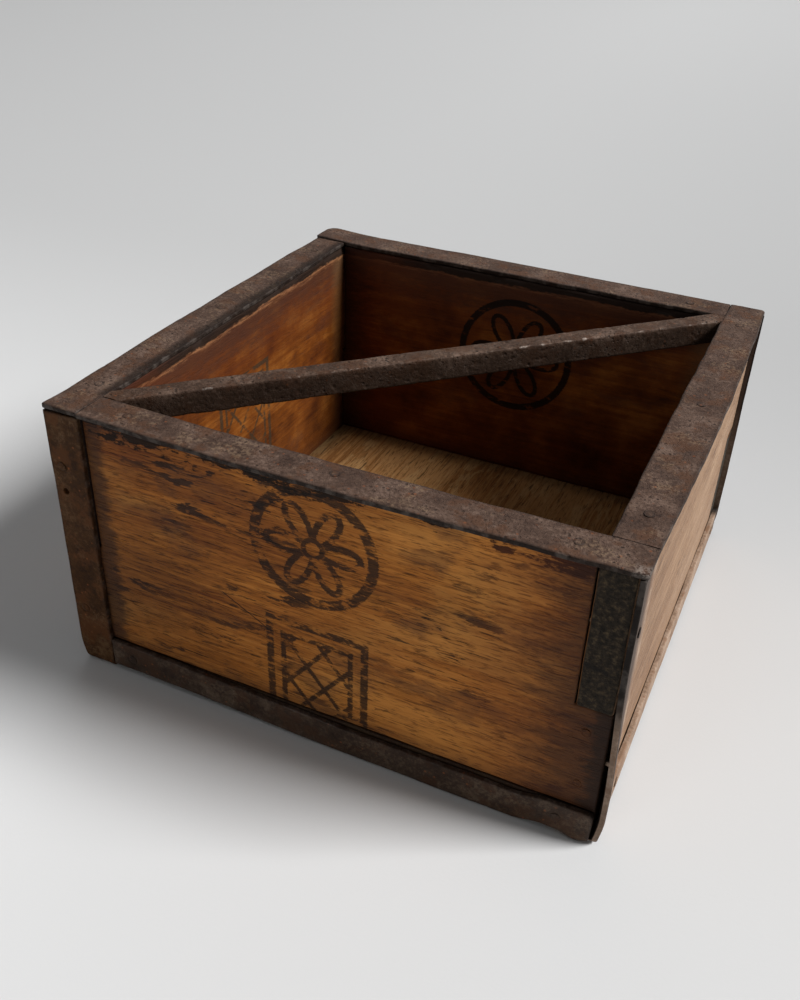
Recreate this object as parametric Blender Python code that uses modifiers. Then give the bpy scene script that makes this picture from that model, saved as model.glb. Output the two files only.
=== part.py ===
"""Iron-bound square grain measure: five boards, an iron rim, corner straps and a levelling bar.

The box stands on the XY plane with the Z axis through its middle and its front wall towards -Y.
All lengths are in metres. Each wall is modelled as if it were the front one, and an empty turned
about the Z axis carries it to its own side. Left and right are as seen from outside that wall.
"""
import math

import bmesh
import bpy

# Wood
INSIDE_WIDTH = 0.1485       # clear width between opposite walls
INSIDE_DEPTH = 0.0823       # from the floor to the top of the rim
WALL = 0.0102               # thickness of a wall board
BOTTOM = 0.0091             # thickness of the bottom board
LOWER_FINGER = 0.0360       # height of the fingers on the front and back boards
PEG_DIAMETER = 0.0023
PEG_LENGTH = 0.0180

# Iron
IRON = 0.0015               # thickness of the rim, straps and strips
STRAP_WIDTH = 0.0120
FOOT_LENGTH = 0.0130        # reach of a strap's foot under the box
FOOT_CORNER = 0.0040        # radius of the foot's two corners
STRAP_BEND = 0.0005         # inside radius where a strap turns under the box
STRIP_HEIGHT = 0.0096       # bottom strips
RIM_CORNER = 0.0015         # radius of the rim's outer corners
BAR_WIDTH = 0.0065
BAR_HEIGHT = 0.0082
TENON = 0.0080              # reach of the bar past the inside corners, along the diagonal

# Nails
NAIL_HEAD = 0.0028          # diameter of a countersunk head
NAIL_HEAD_DEPTH = 0.0010
NAIL_SHANK = 0.0016         # diameter
NAIL_POINT = 0.0020         # length of the pointed end
RIM_NAIL_LENGTH = 0.0130
STRAP_NAIL_LENGTH = 0.0180
FOOT_NAIL_LENGTH = 0.0160
STRIP_NAIL_LENGTH = 0.0130
LOST_NAIL_DIAMETER = 0.0019
LOST_NAIL_DEPTH = 0.0080

# Places of nails, measured from the piece that they hold
RIM_NAIL_FROM_BUTT = 0.0130
RIM_NAIL_FROM_CORNER = 0.0180
STRAP_NAIL_INSET = 0.00385  # from the strap's outer edge
UPPER_NAIL_DROP = 0.0194    # below the top of the rim
LOST_NAIL_DROP = 0.0279
LOWER_NAIL_RISE = 0.0106    # above the underside of the walls
STRIP_NAIL_FROM_STRAP = 0.0080
STRIP_NAIL_FROM_CORNER = 0.0100
FOOT_NAIL_RECESS = 0.0002   # a foot's nail stays clear of the table

GAP = 0.0003                # clearance between pieces that touch
REACH = 0.0010              # how far a cutter stands out of what it cuts
NAIL_SIDES = 10
PEG_SIDES = 12
BEND_STEPS = 4

# Positions worked out from the sizes above
HALF_INSIDE = INSIDE_WIDTH / 2
HALF_WOOD = HALF_INSIDE + WALL
HALF_IRON = HALF_WOOD + GAP + IRON
BOTTOM_Z = IRON + GAP
FLOOR_Z = BOTTOM_Z + BOTTOM
WALL_Z = FLOOR_Z + GAP
RIM_TOP = FLOOR_Z + INSIDE_DEPTH
RIM_Z = RIM_TOP - IRON
WALL_TOP = RIM_Z - GAP
SPLIT_Z = WALL_Z + LOWER_FINGER
BAR_Z = RIM_TOP - BAR_HEIGHT
HALF_DIAGONAL = HALF_INSIDE * math.sqrt(2)
RIM_MIDDLE = (HALF_IRON + HALF_INSIDE) / 2
STRAP_MIDDLE = HALF_IRON - STRAP_WIDTH / 2
UPPER_NAIL_Z = RIM_TOP - UPPER_NAIL_DROP
LOST_NAIL_Z = RIM_TOP - LOST_NAIL_DROP

SIDES = ("front", "right", "back", "left")

IRON_ROUGHNESS = 0.6
WOOD_ROUGHNESS = 0.55


def clear_scene():
    """Remove whatever the scene holds."""
    for thing in list(bpy.data.objects):
        bpy.data.objects.remove(thing, do_unlink=True)


def new_collection(name):
    """Add a collection to the scene."""
    collection = bpy.data.collections.new(name)
    bpy.context.scene.collection.children.link(collection)
    return collection


def new_material(name, color, roughness, metallic):
    """Make a plain surface finish."""
    material = bpy.data.materials.new(name)
    material.use_nodes = True
    shader = material.node_tree.nodes["Principled BSDF"]
    shader.inputs["Base Color"].default_value = (*color, 1.0)
    shader.inputs["Roughness"].default_value = roughness
    shader.inputs["Metallic"].default_value = metallic
    material.diffuse_color = (*color, 1.0)
    return material


def make_materials():
    """One finish for each kind of piece."""
    return {
        "wall": new_material("wall_wood", (0.29, 0.13, 0.045), WOOD_ROUGHNESS, 0.0),
        "bottom": new_material("bottom_wood", (0.24, 0.13, 0.05), WOOD_ROUGHNESS, 0.0),
        "peg": new_material("peg_wood", (0.10, 0.05, 0.02), WOOD_ROUGHNESS, 0.0),
        "rim": new_material("rim_iron", (0.10, 0.075, 0.065), IRON_ROUGHNESS, 0.8),
        "bar": new_material("bar_iron", (0.05, 0.035, 0.028), IRON_ROUGHNESS, 0.8),
        "strap": new_material("strap_iron", (0.07, 0.04, 0.024), IRON_ROUGHNESS, 0.7),
        "strip": new_material("strip_iron", (0.03, 0.024, 0.02), IRON_ROUGHNESS, 0.7),
        "nail": new_material("nail_iron", (0.04, 0.03, 0.025), IRON_ROUGHNESS, 0.7),
    }


def new_turn(name, collection, degrees):
    """Add an empty at the origin, turned about the Z axis."""
    turn = bpy.data.objects.new(name, None)
    turn.rotation_euler = (0, 0, math.radians(degrees))
    collection.objects.link(turn)
    return turn


def new_piece(name, mesh, kit, material):
    """Put a mesh into the measure's collection, carried by an empty."""
    piece = bpy.data.objects.new(name, mesh)
    piece.data.materials.append(kit["materials"][material])
    kit["pieces"].objects.link(piece)
    return piece


def new_cutter(name, mesh, kit, parent):
    """Put a mesh into the cutters' collection, shown as wires."""
    cutter = bpy.data.objects.new(name, mesh)
    cutter.display_type = "WIRE"
    cutter.hide_render = True
    cutter.parent = parent
    kit["cutters"].objects.link(cutter)
    return cutter


def cut(piece, cutter):
    """Subtract a cutter from a piece."""
    modifier = piece.modifiers.new(cutter.name, "BOOLEAN")
    modifier.operation = "DIFFERENCE"
    modifier.solver = "EXACT"
    modifier.object = cutter


def block(name, low, high):
    """A box between two corners, as a mesh."""
    shape = bmesh.new()
    bmesh.ops.create_cube(shape, size=1.0)
    for vertex in shape.verts:
        vertex.co = [a + (t + 0.5) * (b - a) for a, b, t in zip(low, high, vertex.co)]
    mesh = bpy.data.meshes.new(name)
    shape.to_mesh(mesh)
    shape.free()
    return mesh


def rod(name, diameter, length, sides, above=0.0):
    """A round rod down from its head at the origin, as a mesh, with a stretch above it."""
    shape = bmesh.new()
    bmesh.ops.create_cone(
        shape, cap_ends=True, segments=sides,
        radius1=diameter / 2, radius2=diameter / 2, depth=length + above)
    bmesh.ops.translate(shape, verts=shape.verts, vec=(0, 0, (above - length) / 2))
    mesh = bpy.data.meshes.new(name)
    shape.to_mesh(mesh)
    shape.free()
    return mesh


def turn_profile(piece):
    """Turn a half outline in the XZ plane about the Z axis into a closed solid."""
    screw = piece.modifiers.new("turned", "SCREW")
    screw.axis = "Z"
    screw.steps = NAIL_SIDES
    screw.render_steps = NAIL_SIDES
    screw.use_merge_vertices = True
    screw.merge_threshold = 0.00001
    screw.use_smooth_shade = False


def outline(name, points):
    """A line of straight edges through points in the XZ plane, as a mesh."""
    mesh = bpy.data.meshes.new(name)
    edges = [(i, i + 1) for i in range(len(points) - 1)]
    mesh.from_pydata([(x, 0.0, z) for x, z in points], edges, [])
    return mesh


def nail_outline(name, length):
    """Half of a countersunk nail: flat head at the origin, shank and point below it."""
    return outline(name, (
        (0.0, 0.0),
        (NAIL_HEAD / 2, 0.0),
        (NAIL_SHANK / 2, -NAIL_HEAD_DEPTH),
        (NAIL_SHANK / 2, NAIL_POINT - length),
        (0.0, -length),
    ))


def nail_hole_outline(name, length):
    """Half of the countersunk hole that a nail sits in, wider and deeper by the clearance."""
    head = NAIL_HEAD / 2 + GAP
    shank = NAIL_SHANK / 2 + GAP
    return outline(name, (
        (0.0, REACH),
        (head, REACH),
        (head, 0.0),
        (shank, -NAIL_HEAD_DEPTH),
        (shank, -length - GAP),
        (0.0, -length - GAP),
    ))


def drive_nail(name, kit, side, place, tilt, length, drilled):
    """Add a nail with its hole through the drilled pieces; tilt turns its head about X."""
    nail = new_piece(name, nail_outline(name, length), kit, "nail")
    nail.parent = side
    hole = new_cutter(name + "_hole", nail_hole_outline(name + "_hole", length), kit, side)
    for thing in (nail, hole):
        thing.location = place
        thing.rotation_euler = (math.radians(tilt), 0, 0)
        turn_profile(thing)
    for piece in drilled:
        cut(piece, hole)


HEAD_UP = 0
HEAD_OUT = 90
HEAD_DOWN = 180


def add_wall(name, kit, side, upper_fingers):
    """A wall board: full length where it has fingers, short where its neighbours have theirs."""
    low = (-HALF_WOOD, -HALF_WOOD, WALL_Z)
    high = (HALF_WOOD, -HALF_INSIDE, WALL_TOP)
    board = new_piece(name, block(name, low, high), kit, "wall")
    board.parent = side
    if upper_fingers:
        notch_z = (WALL_Z - REACH, SPLIT_Z + GAP / 2)
    else:
        notch_z = (SPLIT_Z - GAP / 2, WALL_TOP + REACH)
    for end, word in ((-1, "left"), (1, "right")):
        xs = sorted((end * (HALF_INSIDE - GAP), end * (HALF_WOOD + REACH)))
        low = (xs[0], -HALF_WOOD - REACH, notch_z[0])
        high = (xs[1], -HALF_INSIDE + REACH, notch_z[1])
        notch_name = f"{name}_{word}_notch"
        cut(board, new_cutter(notch_name, block(notch_name, low, high), kit, side))
    return board


def add_bottom(name, kit):
    """The bottom board, as wide as the walls that stand on it."""
    low = (-HALF_WOOD, -HALF_WOOD, BOTTOM_Z)
    high = (HALF_WOOD, HALF_WOOD, FLOOR_Z)
    return new_piece(name, block(name, low, high), kit, "bottom")


def add_rim(name, kit, side):
    """A flat strip on the wall's top: it butts on its left neighbour and covers the right corner."""
    low = (-HALF_INSIDE + GAP, -HALF_IRON, RIM_Z)
    high = (HALF_IRON, -HALF_INSIDE, RIM_TOP)
    mesh = block(name, low, high)
    shape = bmesh.new()
    shape.from_mesh(mesh)
    corner = [
        edge for edge in shape.edges
        if all(v.co.x > HALF_IRON - GAP and v.co.y < -HALF_IRON + GAP for v in edge.verts)
    ]
    bmesh.ops.bevel(shape, geom=corner, offset=RIM_CORNER, segments=3, profile=0.5,
                    affect="EDGES")
    shape.to_mesh(mesh)
    shape.free()
    rim = new_piece(name, mesh, kit, "rim")
    rim.parent = side
    return rim


def strap_rows():
    """The strap's outer face from toe to top, as (y, z, half width) for each row."""
    half = STRAP_WIDTH / 2
    bend = STRAP_BEND + IRON
    toe = -HALF_IRON + FOOT_LENGTH
    angles = [math.pi / 2 * step / BEND_STEPS for step in range(BEND_STEPS + 1)]
    rows = []
    for angle in angles:
        y = toe - FOOT_CORNER * (1 - math.cos(angle))
        rows.append((y, 0.0, half - FOOT_CORNER * (1 - math.sin(angle))))
    for angle in angles:
        y = -HALF_IRON + bend * (1 - math.sin(angle))
        rows.append((y, bend * (1 - math.cos(angle)), half))
    rows.append((-HALF_IRON, WALL_TOP, half))
    return rows


def add_strap(name, kit, side):
    """A strap down the wall's left end that turns under the box and ends in a round foot."""
    rows = strap_rows()
    shape = bmesh.new()
    bmesh.ops.create_grid(shape, x_segments=1, y_segments=len(rows) - 1, size=0.5)
    for index, vertex in enumerate(shape.verts):
        y, z, half = rows[index // 2]
        edge = -half if index % 2 == 0 else half
        vertex.co = (-STRAP_MIDDLE + edge, y, z)
    mesh = bpy.data.meshes.new(name)
    shape.to_mesh(mesh)
    shape.free()
    strap = new_piece(name, mesh, kit, "strap")
    strap.parent = side
    solid = strap.modifiers.new("iron", "SOLIDIFY")
    solid.thickness = IRON
    solid.offset = -1
    solid.use_even_offset = True
    return strap


def add_strip(name, kit, side):
    """A strip along the foot of the wall, from the strap to the right corner."""
    low = (-HALF_IRON + STRAP_WIDTH + GAP, -HALF_IRON, BOTTOM_Z)
    high = (HALF_WOOD, -HALF_IRON + IRON, BOTTOM_Z + STRIP_HEIGHT)
    strip = new_piece(name, block(name, low, high), kit, "strip")
    strip.parent = side
    return strip


def add_bar(name, kit):
    """The bar from the front left corner to the back right one, cut to pass under the rim."""
    reach = HALF_DIAGONAL + TENON
    low = (-reach, -BAR_WIDTH / 2, BAR_Z)
    high = (reach, BAR_WIDTH / 2, RIM_TOP)
    bar = new_piece(name, block(name, low, high), kit, "bar")
    bar.rotation_euler = (0, 0, math.radians(45))
    for side_name in SIDES:
        wide = HALF_IRON + REACH
        low = (-wide, -wide, WALL_TOP)
        high = (wide, -HALF_INSIDE + GAP, RIM_TOP + REACH)
        cutter_name = f"{side_name}_rim_clearance"
        cut(bar, new_cutter(cutter_name, block(cutter_name, low, high), kit,
                            kit["sides"][side_name]))
    return bar


def cut_mortises(kit, boards):
    """Sink the bar's two tenons into the corners of the walls."""
    for word, degrees in (("front", 225), ("back", 45)):
        low = (HALF_DIAGONAL - BAR_WIDTH, -BAR_WIDTH / 2 - GAP, BAR_Z - GAP)
        high = (HALF_DIAGONAL + TENON + GAP, BAR_WIDTH / 2 + GAP, RIM_TOP + REACH)
        name = f"{word}_mortise"
        mortise = new_cutter(name, block(name, low, high), kit, None)
        mortise.rotation_euler = (0, 0, math.radians(degrees))
        for board in boards:
            cut(board, mortise)


def nail_rim(side_name, kit, rim, board):
    """Three nails down through a rim strip into its own board."""
    side = kit["sides"][side_name]
    first = -HALF_INSIDE + GAP + RIM_NAIL_FROM_BUTT
    last = HALF_IRON - RIM_NAIL_FROM_CORNER
    for number, x in enumerate((first, (first + last) / 2, last), start=1):
        drive_nail(f"{side_name}_rim_nail_{number}", kit, side, (x, -RIM_MIDDLE, RIM_TOP),
                   HEAD_UP, RIM_NAIL_LENGTH, (rim, board))


def nail_strap(side_name, kit, strap, boards, bottom, lower_z):
    """Two nails through a strap into the corner's boards, and one up through its foot."""
    side = kit["sides"][side_name]
    x = -HALF_IRON + STRAP_NAIL_INSET
    for number, z in enumerate((UPPER_NAIL_Z, lower_z), start=1):
        drive_nail(f"{side_name}_strap_nail_{number}", kit, side, (x, -HALF_IRON, z),
                   HEAD_OUT, STRAP_NAIL_LENGTH, (strap, *boards))
    place = (-STRAP_MIDDLE, -HALF_IRON + FOOT_LENGTH / 2, FOOT_NAIL_RECESS)
    drive_nail(f"{side_name}_foot_nail", kit, side, place,
               HEAD_DOWN, FOOT_NAIL_LENGTH, (strap, bottom, *boards))


def lose_nail(kit, strap, boards):
    """The empty hole in the front strap that a lost nail left."""
    name = "lost_nail_hole"
    mesh = rod(name, LOST_NAIL_DIAMETER, LOST_NAIL_DEPTH, NAIL_SIDES, above=REACH)
    hole = new_cutter(name, mesh, kit, kit["sides"]["front"])
    hole.location = (-HALF_IRON + STRAP_NAIL_INSET, -HALF_IRON, LOST_NAIL_Z)
    hole.rotation_euler = (math.radians(HEAD_OUT), 0, 0)
    for piece in (strap, *boards):
        cut(piece, hole)


def nail_strip(side_name, kit, strip, bottom):
    """Two nails through a bottom strip into the edge of the bottom board."""
    side = kit["sides"][side_name]
    first = -HALF_IRON + STRAP_WIDTH + STRIP_NAIL_FROM_STRAP
    last = HALF_WOOD - STRIP_NAIL_FROM_CORNER
    z = BOTTOM_Z + BOTTOM / 2
    for number, x in enumerate((first, last), start=1):
        drive_nail(f"{side_name}_strip_nail_{number}", kit, side, (x, -HALF_IRON, z),
                   HEAD_OUT, STRIP_NAIL_LENGTH, (strip, bottom))


def peg_heights(upper_fingers):
    """The heights of the two pegs in a finger, clear of the nails and of the bar's mortise."""
    if upper_fingers:
        mortise_z = BAR_Z - GAP
        return (SPLIT_Z + 0.35 * (UPPER_NAIL_Z - SPLIT_Z), (UPPER_NAIL_Z + mortise_z) / 2)
    return (WALL_Z + 0.25 * LOWER_FINGER, WALL_Z + 0.77 * LOWER_FINGER)


def peg_corner(side_name, kit, upper_fingers, boards):
    """Two pegs through the finger at the wall's right end into the next board's end."""
    side = kit["sides"][side_name]
    x = HALF_WOOD - 0.6 * WALL
    for number, z in enumerate(peg_heights(upper_fingers), start=1):
        name = f"{side_name}_peg_{number}"
        peg = new_piece(name, rod(name, PEG_DIAMETER, PEG_LENGTH, PEG_SIDES), kit, "peg")
        peg.parent = side
        mesh = rod(name + "_hole", PEG_DIAMETER + 2 * GAP, PEG_LENGTH + GAP, PEG_SIDES,
                   above=REACH)
        hole = new_cutter(name + "_hole", mesh, kit, side)
        for thing in (peg, hole):
            thing.location = (x, -HALF_WOOD, z)
            thing.rotation_euler = (math.radians(HEAD_OUT), 0, 0)
        for board in boards:
            cut(board, hole)


def build_measure():
    """Build the whole measure, wall by wall."""
    clear_scene()
    kit = {
        "pieces": new_collection("grain_measure"),
        "cutters": new_collection("cutters"),
        "materials": make_materials(),
    }
    kit["sides"] = {
        name: new_turn(name + "_side", kit["pieces"], 90 * index)
        for index, name in enumerate(SIDES)
    }
    boards = [
        add_wall(f"{name}_board", kit, kit["sides"][name], upper_fingers=index % 2 == 1)
        for index, name in enumerate(SIDES)
    ]
    bottom = add_bottom("bottom_board", kit)
    add_bar("levelling_bar", kit)
    cut_mortises(kit, boards)
    for index, name in enumerate(SIDES):
        side = kit["sides"][name]
        upper_fingers = index % 2 == 1
        left_corner = (boards[index], boards[index - 1])
        right_corner = (boards[index], boards[(index + 1) % len(SIDES)])
        lower_z = WALL_Z + (LOWER_FINGER / 2 if upper_fingers else LOWER_NAIL_RISE)
        rim = add_rim(f"{name}_rim", kit, side)
        strap = add_strap(f"{name}_strap", kit, side)
        strip = add_strip(f"{name}_bottom_strip", kit, side)
        nail_rim(name, kit, rim, boards[index])
        nail_strap(name, kit, strap, left_corner, bottom, lower_z)
        if name == "front":
            lose_nail(kit, strap, left_corner)
        nail_strip(name, kit, strip, bottom)
        peg_corner(name, kit, upper_fingers, right_corner)


build_measure()
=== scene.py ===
"""The finished look of an iron-bound wooden grain measure, built round its fixed frame.

Every board, iron, nail and peg is a fine surface worked out with numpy where the frame holds its
plain solid. A wall is described in its own frame: u runs along it to the right as seen from
outside, out is the distance from the middle of the box, and z is up. Lengths are in metres.
"""

import math

import bmesh
import bpy
import numpy as np
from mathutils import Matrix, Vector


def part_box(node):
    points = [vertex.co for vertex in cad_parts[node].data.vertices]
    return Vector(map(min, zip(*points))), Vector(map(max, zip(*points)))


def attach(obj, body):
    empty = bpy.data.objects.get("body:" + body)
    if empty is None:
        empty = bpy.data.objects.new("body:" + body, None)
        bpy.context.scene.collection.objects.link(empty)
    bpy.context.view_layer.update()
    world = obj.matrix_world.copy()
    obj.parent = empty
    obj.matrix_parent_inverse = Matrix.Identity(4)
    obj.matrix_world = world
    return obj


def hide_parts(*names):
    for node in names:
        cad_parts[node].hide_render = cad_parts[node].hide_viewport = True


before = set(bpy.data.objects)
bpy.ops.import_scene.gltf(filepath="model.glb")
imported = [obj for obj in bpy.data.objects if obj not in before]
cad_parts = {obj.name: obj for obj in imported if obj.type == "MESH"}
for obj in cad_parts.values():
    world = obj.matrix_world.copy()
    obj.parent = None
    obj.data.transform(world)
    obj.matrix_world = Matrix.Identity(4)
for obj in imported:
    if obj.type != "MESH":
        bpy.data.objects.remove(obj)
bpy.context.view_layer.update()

MM = 0.001
SIDES = ("front", "right", "back", "left")

# Places taken from the frame
BOARD_LOW, BOARD_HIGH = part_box("front_board")
FLOOR_LOW, FLOOR_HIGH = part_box("bottom_board")
RIM_LOW, RIM_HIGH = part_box("front_rim")
STRAP_LOW, STRAP_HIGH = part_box("front_strap")
STRIP_LOW, STRIP_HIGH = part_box("front_bottom_strip")
BAR_LOW, BAR_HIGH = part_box("levelling_bar")
HALF_WOOD = BOARD_HIGH.x
HALF_INSIDE = -BOARD_HIGH.y
HALF_IRON = RIM_HIGH.x
WALL_FOOT, WALL_TOP = BOARD_LOW.z, BOARD_HIGH.z
RIM_TOP = RIM_HIGH.z
IRON = RIM_HIGH.z - RIM_LOW.z
WALL = HALF_WOOD - HALF_INSIDE
STRAP_WIDTH = STRAP_HIGH.x - STRAP_LOW.x
FOOT_REACH = STRAP_HIGH.y - STRAP_LOW.y
FINGER_SPLIT = 47.2 * MM    # height where the fingers of two walls meet
JOINT = 0.1 * MM            # half the dark line between two pieces


# Noise and small curves

def noise(points, seed):
    """Smooth noise from -1 to 1: a random value at each whole-number point of space, blended
    between the eight nearest ones by the curve 3t^2 - 2t^3 along each axis."""
    base = np.floor(points).astype(np.int64)
    t = points - base
    t = t * t * (3.0 - 2.0 * t)
    total = np.zeros(points.shape[:-1])
    for corner in np.ndindex(2, 2, 2):
        cell = base + corner
        mixed = (cell[..., 0] * 374761393 + cell[..., 1] * 668265263
                 + cell[..., 2] * 1440662683 + seed * 982451653) & 0xFFFFFFFF
        mixed = ((mixed ^ (mixed >> 13)) * 1274126177) & 0xFFFFFFFF
        value = ((mixed ^ (mixed >> 16)) & 0xFFFF) / 32767.5 - 1.0
        weight = np.prod(np.where(np.array(corner) == 1, t, 1.0 - t), axis=-1)
        total += value * weight
    return total


def ripple(u, v, seed, length_u, length_v, octaves=3):
    """Noise over a face: each octave has half the length and half the height of the last."""
    total = np.zeros(np.broadcast(u, v).shape)
    for octave in range(octaves):
        scale = 2.0 ** octave
        points = np.stack(np.broadcast_arrays(
            u * scale / length_u, v * scale / length_v, 0.37 + octave), axis=-1)
        total += noise(points, seed + 31 * octave) / scale
    return total


def smooth(value, low, high):
    """0 below low and 1 above high, with the curve 3t^2 - 2t^3 between them."""
    t = np.clip((value - low) / (high - low), 0.0, 1.0)
    return t * t * (3.0 - 2.0 * t)


def rounded(distance, radius):
    """How far a face has dropped at a distance from its edge, on a quarter circle."""
    inset = np.clip(radius - distance, 0.0, radius)
    return radius - np.sqrt(np.maximum(radius ** 2 - inset ** 2, 0.0))


def round_corner(a, b, radius):
    """Bend the square corner a = b = 0 into an arc: points within a radius of both edges are
    pulled towards the arc's centre by the ratio of their larger offset to their distance."""
    p = np.clip(1.0 - a / radius, 0.0, 1.0)
    q = np.clip(1.0 - b / radius, 0.0, 1.0)
    reach = np.maximum(np.hypot(p, q), 1e-9)
    pull = np.where((p > 0) & (q > 0), np.maximum(p, q) / reach, 1.0)
    return (np.where(p > 0, radius * (1.0 - p * pull), a),
            np.where(q > 0, radius * (1.0 - q * pull), b))


# Meshes from arrays

SHARP = math.radians(50)    # edges that turn further than this are shaded sharp
SAME_PLACE = 0.0001 * MM


def enclosed(vertices, faces):
    """Six times the signed volume inside the faces: each face is cut into a fan of triangles, and
    the triple products of their corners are summed. It is negative when the faces look inward."""
    total = 0.0
    for group in faces:
        corners = vertices[group]
        for last in range(2, group.shape[1]):
            turned = np.cross(corners[:, last - 1], corners[:, last])
            total += float((corners[:, 0] * turned).sum())
    return total


def merge_doubles(mesh):
    """Make one vertex of those that lie in one place, and drop the faces that have no area."""
    shell = bmesh.new()
    shell.from_mesh(mesh)
    bmesh.ops.remove_doubles(shell, verts=shell.verts, dist=SAME_PLACE)
    shell.to_mesh(mesh)
    shell.free()


def mesh_object(name, vertices, faces, attributes=None):
    """A smooth mesh object. faces is a list of arrays, each with faces of one number of corners;
    vertices that no face uses are left out, and faces that look inward are turned round."""
    vertices = vertices.reshape(-1, 3)
    if enclosed(vertices, faces) < 0.0:
        faces = [group[:, ::-1] for group in faces]
    loops = np.concatenate([group.ravel() for group in faces])
    sizes = np.concatenate([np.full(len(group), group.shape[1]) for group in faces])
    used, loops = np.unique(loops, return_inverse=True)
    loops = loops.ravel()
    mesh = bpy.data.meshes.new(name)
    mesh.vertices.add(len(used))
    mesh.vertices.foreach_set("co", vertices[used].astype(np.float32).ravel())
    mesh.loops.add(len(loops))
    mesh.loops.foreach_set("vertex_index", loops.astype(np.int32))
    mesh.polygons.add(len(sizes))
    starts = np.concatenate(([0], np.cumsum(sizes)[:-1]))
    mesh.polygons.foreach_set("loop_start", starts.astype(np.int32))
    for word, values in (attributes or {}).items():
        layer = mesh.attributes.new(word, "FLOAT", "POINT")
        layer.data.foreach_set("value", values.ravel()[used].astype(np.float32))
    mesh.update(calc_edges=True)
    merge_doubles(mesh)
    mesh.validate()
    mesh.shade_smooth()
    mesh.set_sharp_from_angle(angle=SHARP)
    piece = bpy.data.objects.new(name, mesh)
    bpy.context.scene.collection.objects.link(piece)
    return piece


def fit(piece, node, material):
    """Let a piece stand for a node of the frame, in a material."""
    piece.data.materials.append(material)
    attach(piece, "root")
    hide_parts(node)
    return piece


# Plates: a face, its back and the edge between them

ROUNDING = 1.0 - np.cos(np.linspace(0.0, np.pi / 2, 5))
CLOSEST = 0.012 * MM        # no other grid line is nearer than this to a break
COMB = 25                   # close lines across each nail, peg or hole
DEEPEST = 0.42              # share of its thickness that a plate may lose on one side
EDGE_LAYER = 0.18           # drop to the next layer, as a share of the rounding
WORN_REACH = 1.5 * MM       # how fast the edge attribute fades away from the outline


def grid_lines(breaks, step, radius, fine=()):
    """Places of grid lines: even steps between the breaks, close ones on both sides of each
    break for the rounded edges, and a fine comb round each place in fine, as (place, reach)."""
    lines = [np.linspace(a, b, max(2, int(round((b - a) / step)) + 1))
             for a, b in zip(breaks, breaks[1:])]
    for place in breaks:
        lines.append(place + radius * ROUNDING)
        lines.append(place - radius * ROUNDING)
    for place, reach in fine:
        lines.append(np.linspace(place - reach, place + reach, COMB))
    found = np.unique(np.concatenate(lines))
    found = found[(found >= breaks[0]) & (found <= breaks[-1])]
    for place in breaks:
        found = found[(np.abs(found - place) > CLOSEST)]
    return np.unique(np.concatenate((found, breaks)))


def distance_to_outline(u, v, outline):
    """Least distance from each point to the edges of a closed outline."""
    least = np.full(u.shape, np.inf)
    for (u0, v0), (u1, v1) in zip(outline, outline[1:] + outline[:1]):
        du, dv = u1 - u0, v1 - v0
        t = np.clip(((u - u0) * du + (v - v0) * dv) / (du * du + dv * dv), 0.0, 1.0)
        least = np.minimum(least, np.hypot(u - u0 - t * du, v - v0 - t * dv))
    return least


def inside_outline(u, v, outline):
    """Whether a line from each point towards +u crosses the outline an odd number of times."""
    crossed = np.zeros(u.shape, bool)
    for (u0, v0), (u1, v1) in zip(outline, outline[1:] + outline[:1]):
        if v0 != v1:
            at = u0 + (v - v0) * (u1 - u0) / (v1 - v0)
            crossed ^= ((v0 > v) != (v1 > v)) & (u < at)
    return crossed


def rectangle(low_u, high_u, low_v, high_v):
    """The four corners of a rectangle, as an outline."""
    return [(low_u, low_v), (high_u, low_v), (high_u, high_v), (low_u, high_v)]


def plate_faces(kept, layers):
    """Quads of a plate whose kept grid cells have a face on the first layer, a back on the last
    and, where their neighbour is missing, an edge through all layers."""
    rows, columns = kept.shape
    index = np.arange((rows + 1) * (columns + 1)).reshape(rows + 1, columns + 1)
    size = index.size
    low, right = index[:-1, :-1], index[:-1, 1:]
    up, far = index[1:, :-1], index[1:, 1:]
    padded = np.pad(kept, 1)
    quads = [
        np.stack((low, right, far, up), -1)[kept],
        np.stack((low, up, far, right), -1)[kept] + size * (layers - 1),
    ]
    walls = (
        (padded[:-2, 1:-1], low, right),
        (padded[2:, 1:-1], far, up),
        (padded[1:-1, :-2], up, low),
        (padded[1:-1, 2:], right, far),
    )
    for neighbour, start, end in walls:
        bare = kept & ~neighbour
        for layer in range(layers - 1):
            here, there = layer * size, (layer + 1) * size
            quads.append(
                np.stack((start + here, start + there, end + there, end + here), -1)[bare])
    return [np.concatenate(quads)]


def plate(name, us, vs, outline, thickness, radius, place, relief, deepest=DEEPEST, rim=None,
          back_radius=None):
    """A plate over an outline in the (u, v) plane. Its face lies at w = thickness / 2 and its
    back at the opposite height, both less a quarter circle near the outline and less the relief,
    a function of u, v, the distance to the outline and 0 for the face or 1 for the back. Two
    layers between them carry the edge. place turns (u, v, w) into a point. rim is an outline to
    measure the rounding from and back_radius the rounding of the back, where they differ."""
    u, v = np.meshgrid(us, vs)
    depth = distance_to_outline(u, v, rim or outline)
    middle_u, middle_v = np.meshgrid((us[1:] + us[:-1]) / 2, (vs[1:] + vs[:-1]) / 2)
    kept = inside_outline(middle_u, middle_v, outline)
    face = rounded(depth, radius) + relief(u, v, depth, 0)
    back_radius = back_radius or radius
    back = rounded(depth, back_radius) + relief(u, v, depth, 1)
    half = thickness / 2
    face = half - np.minimum(face, deepest * thickness)
    back = np.minimum(back, DEEPEST * thickness) - half
    heights = (face, face - EDGE_LAYER * radius, back + EDGE_LAYER * back_radius, back)
    points = np.stack([place(u, v, height) for height in heights])
    edge = np.exp(-depth / WORN_REACH)
    attributes = {
        "edge": np.stack([edge] * 4),
        "back": np.stack([np.full_like(u, share) for share in (0.0, 0.0, 1.0, 1.0)]),
    }
    return mesh_object(name, points, plate_faces(kept, 4), attributes)


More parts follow.
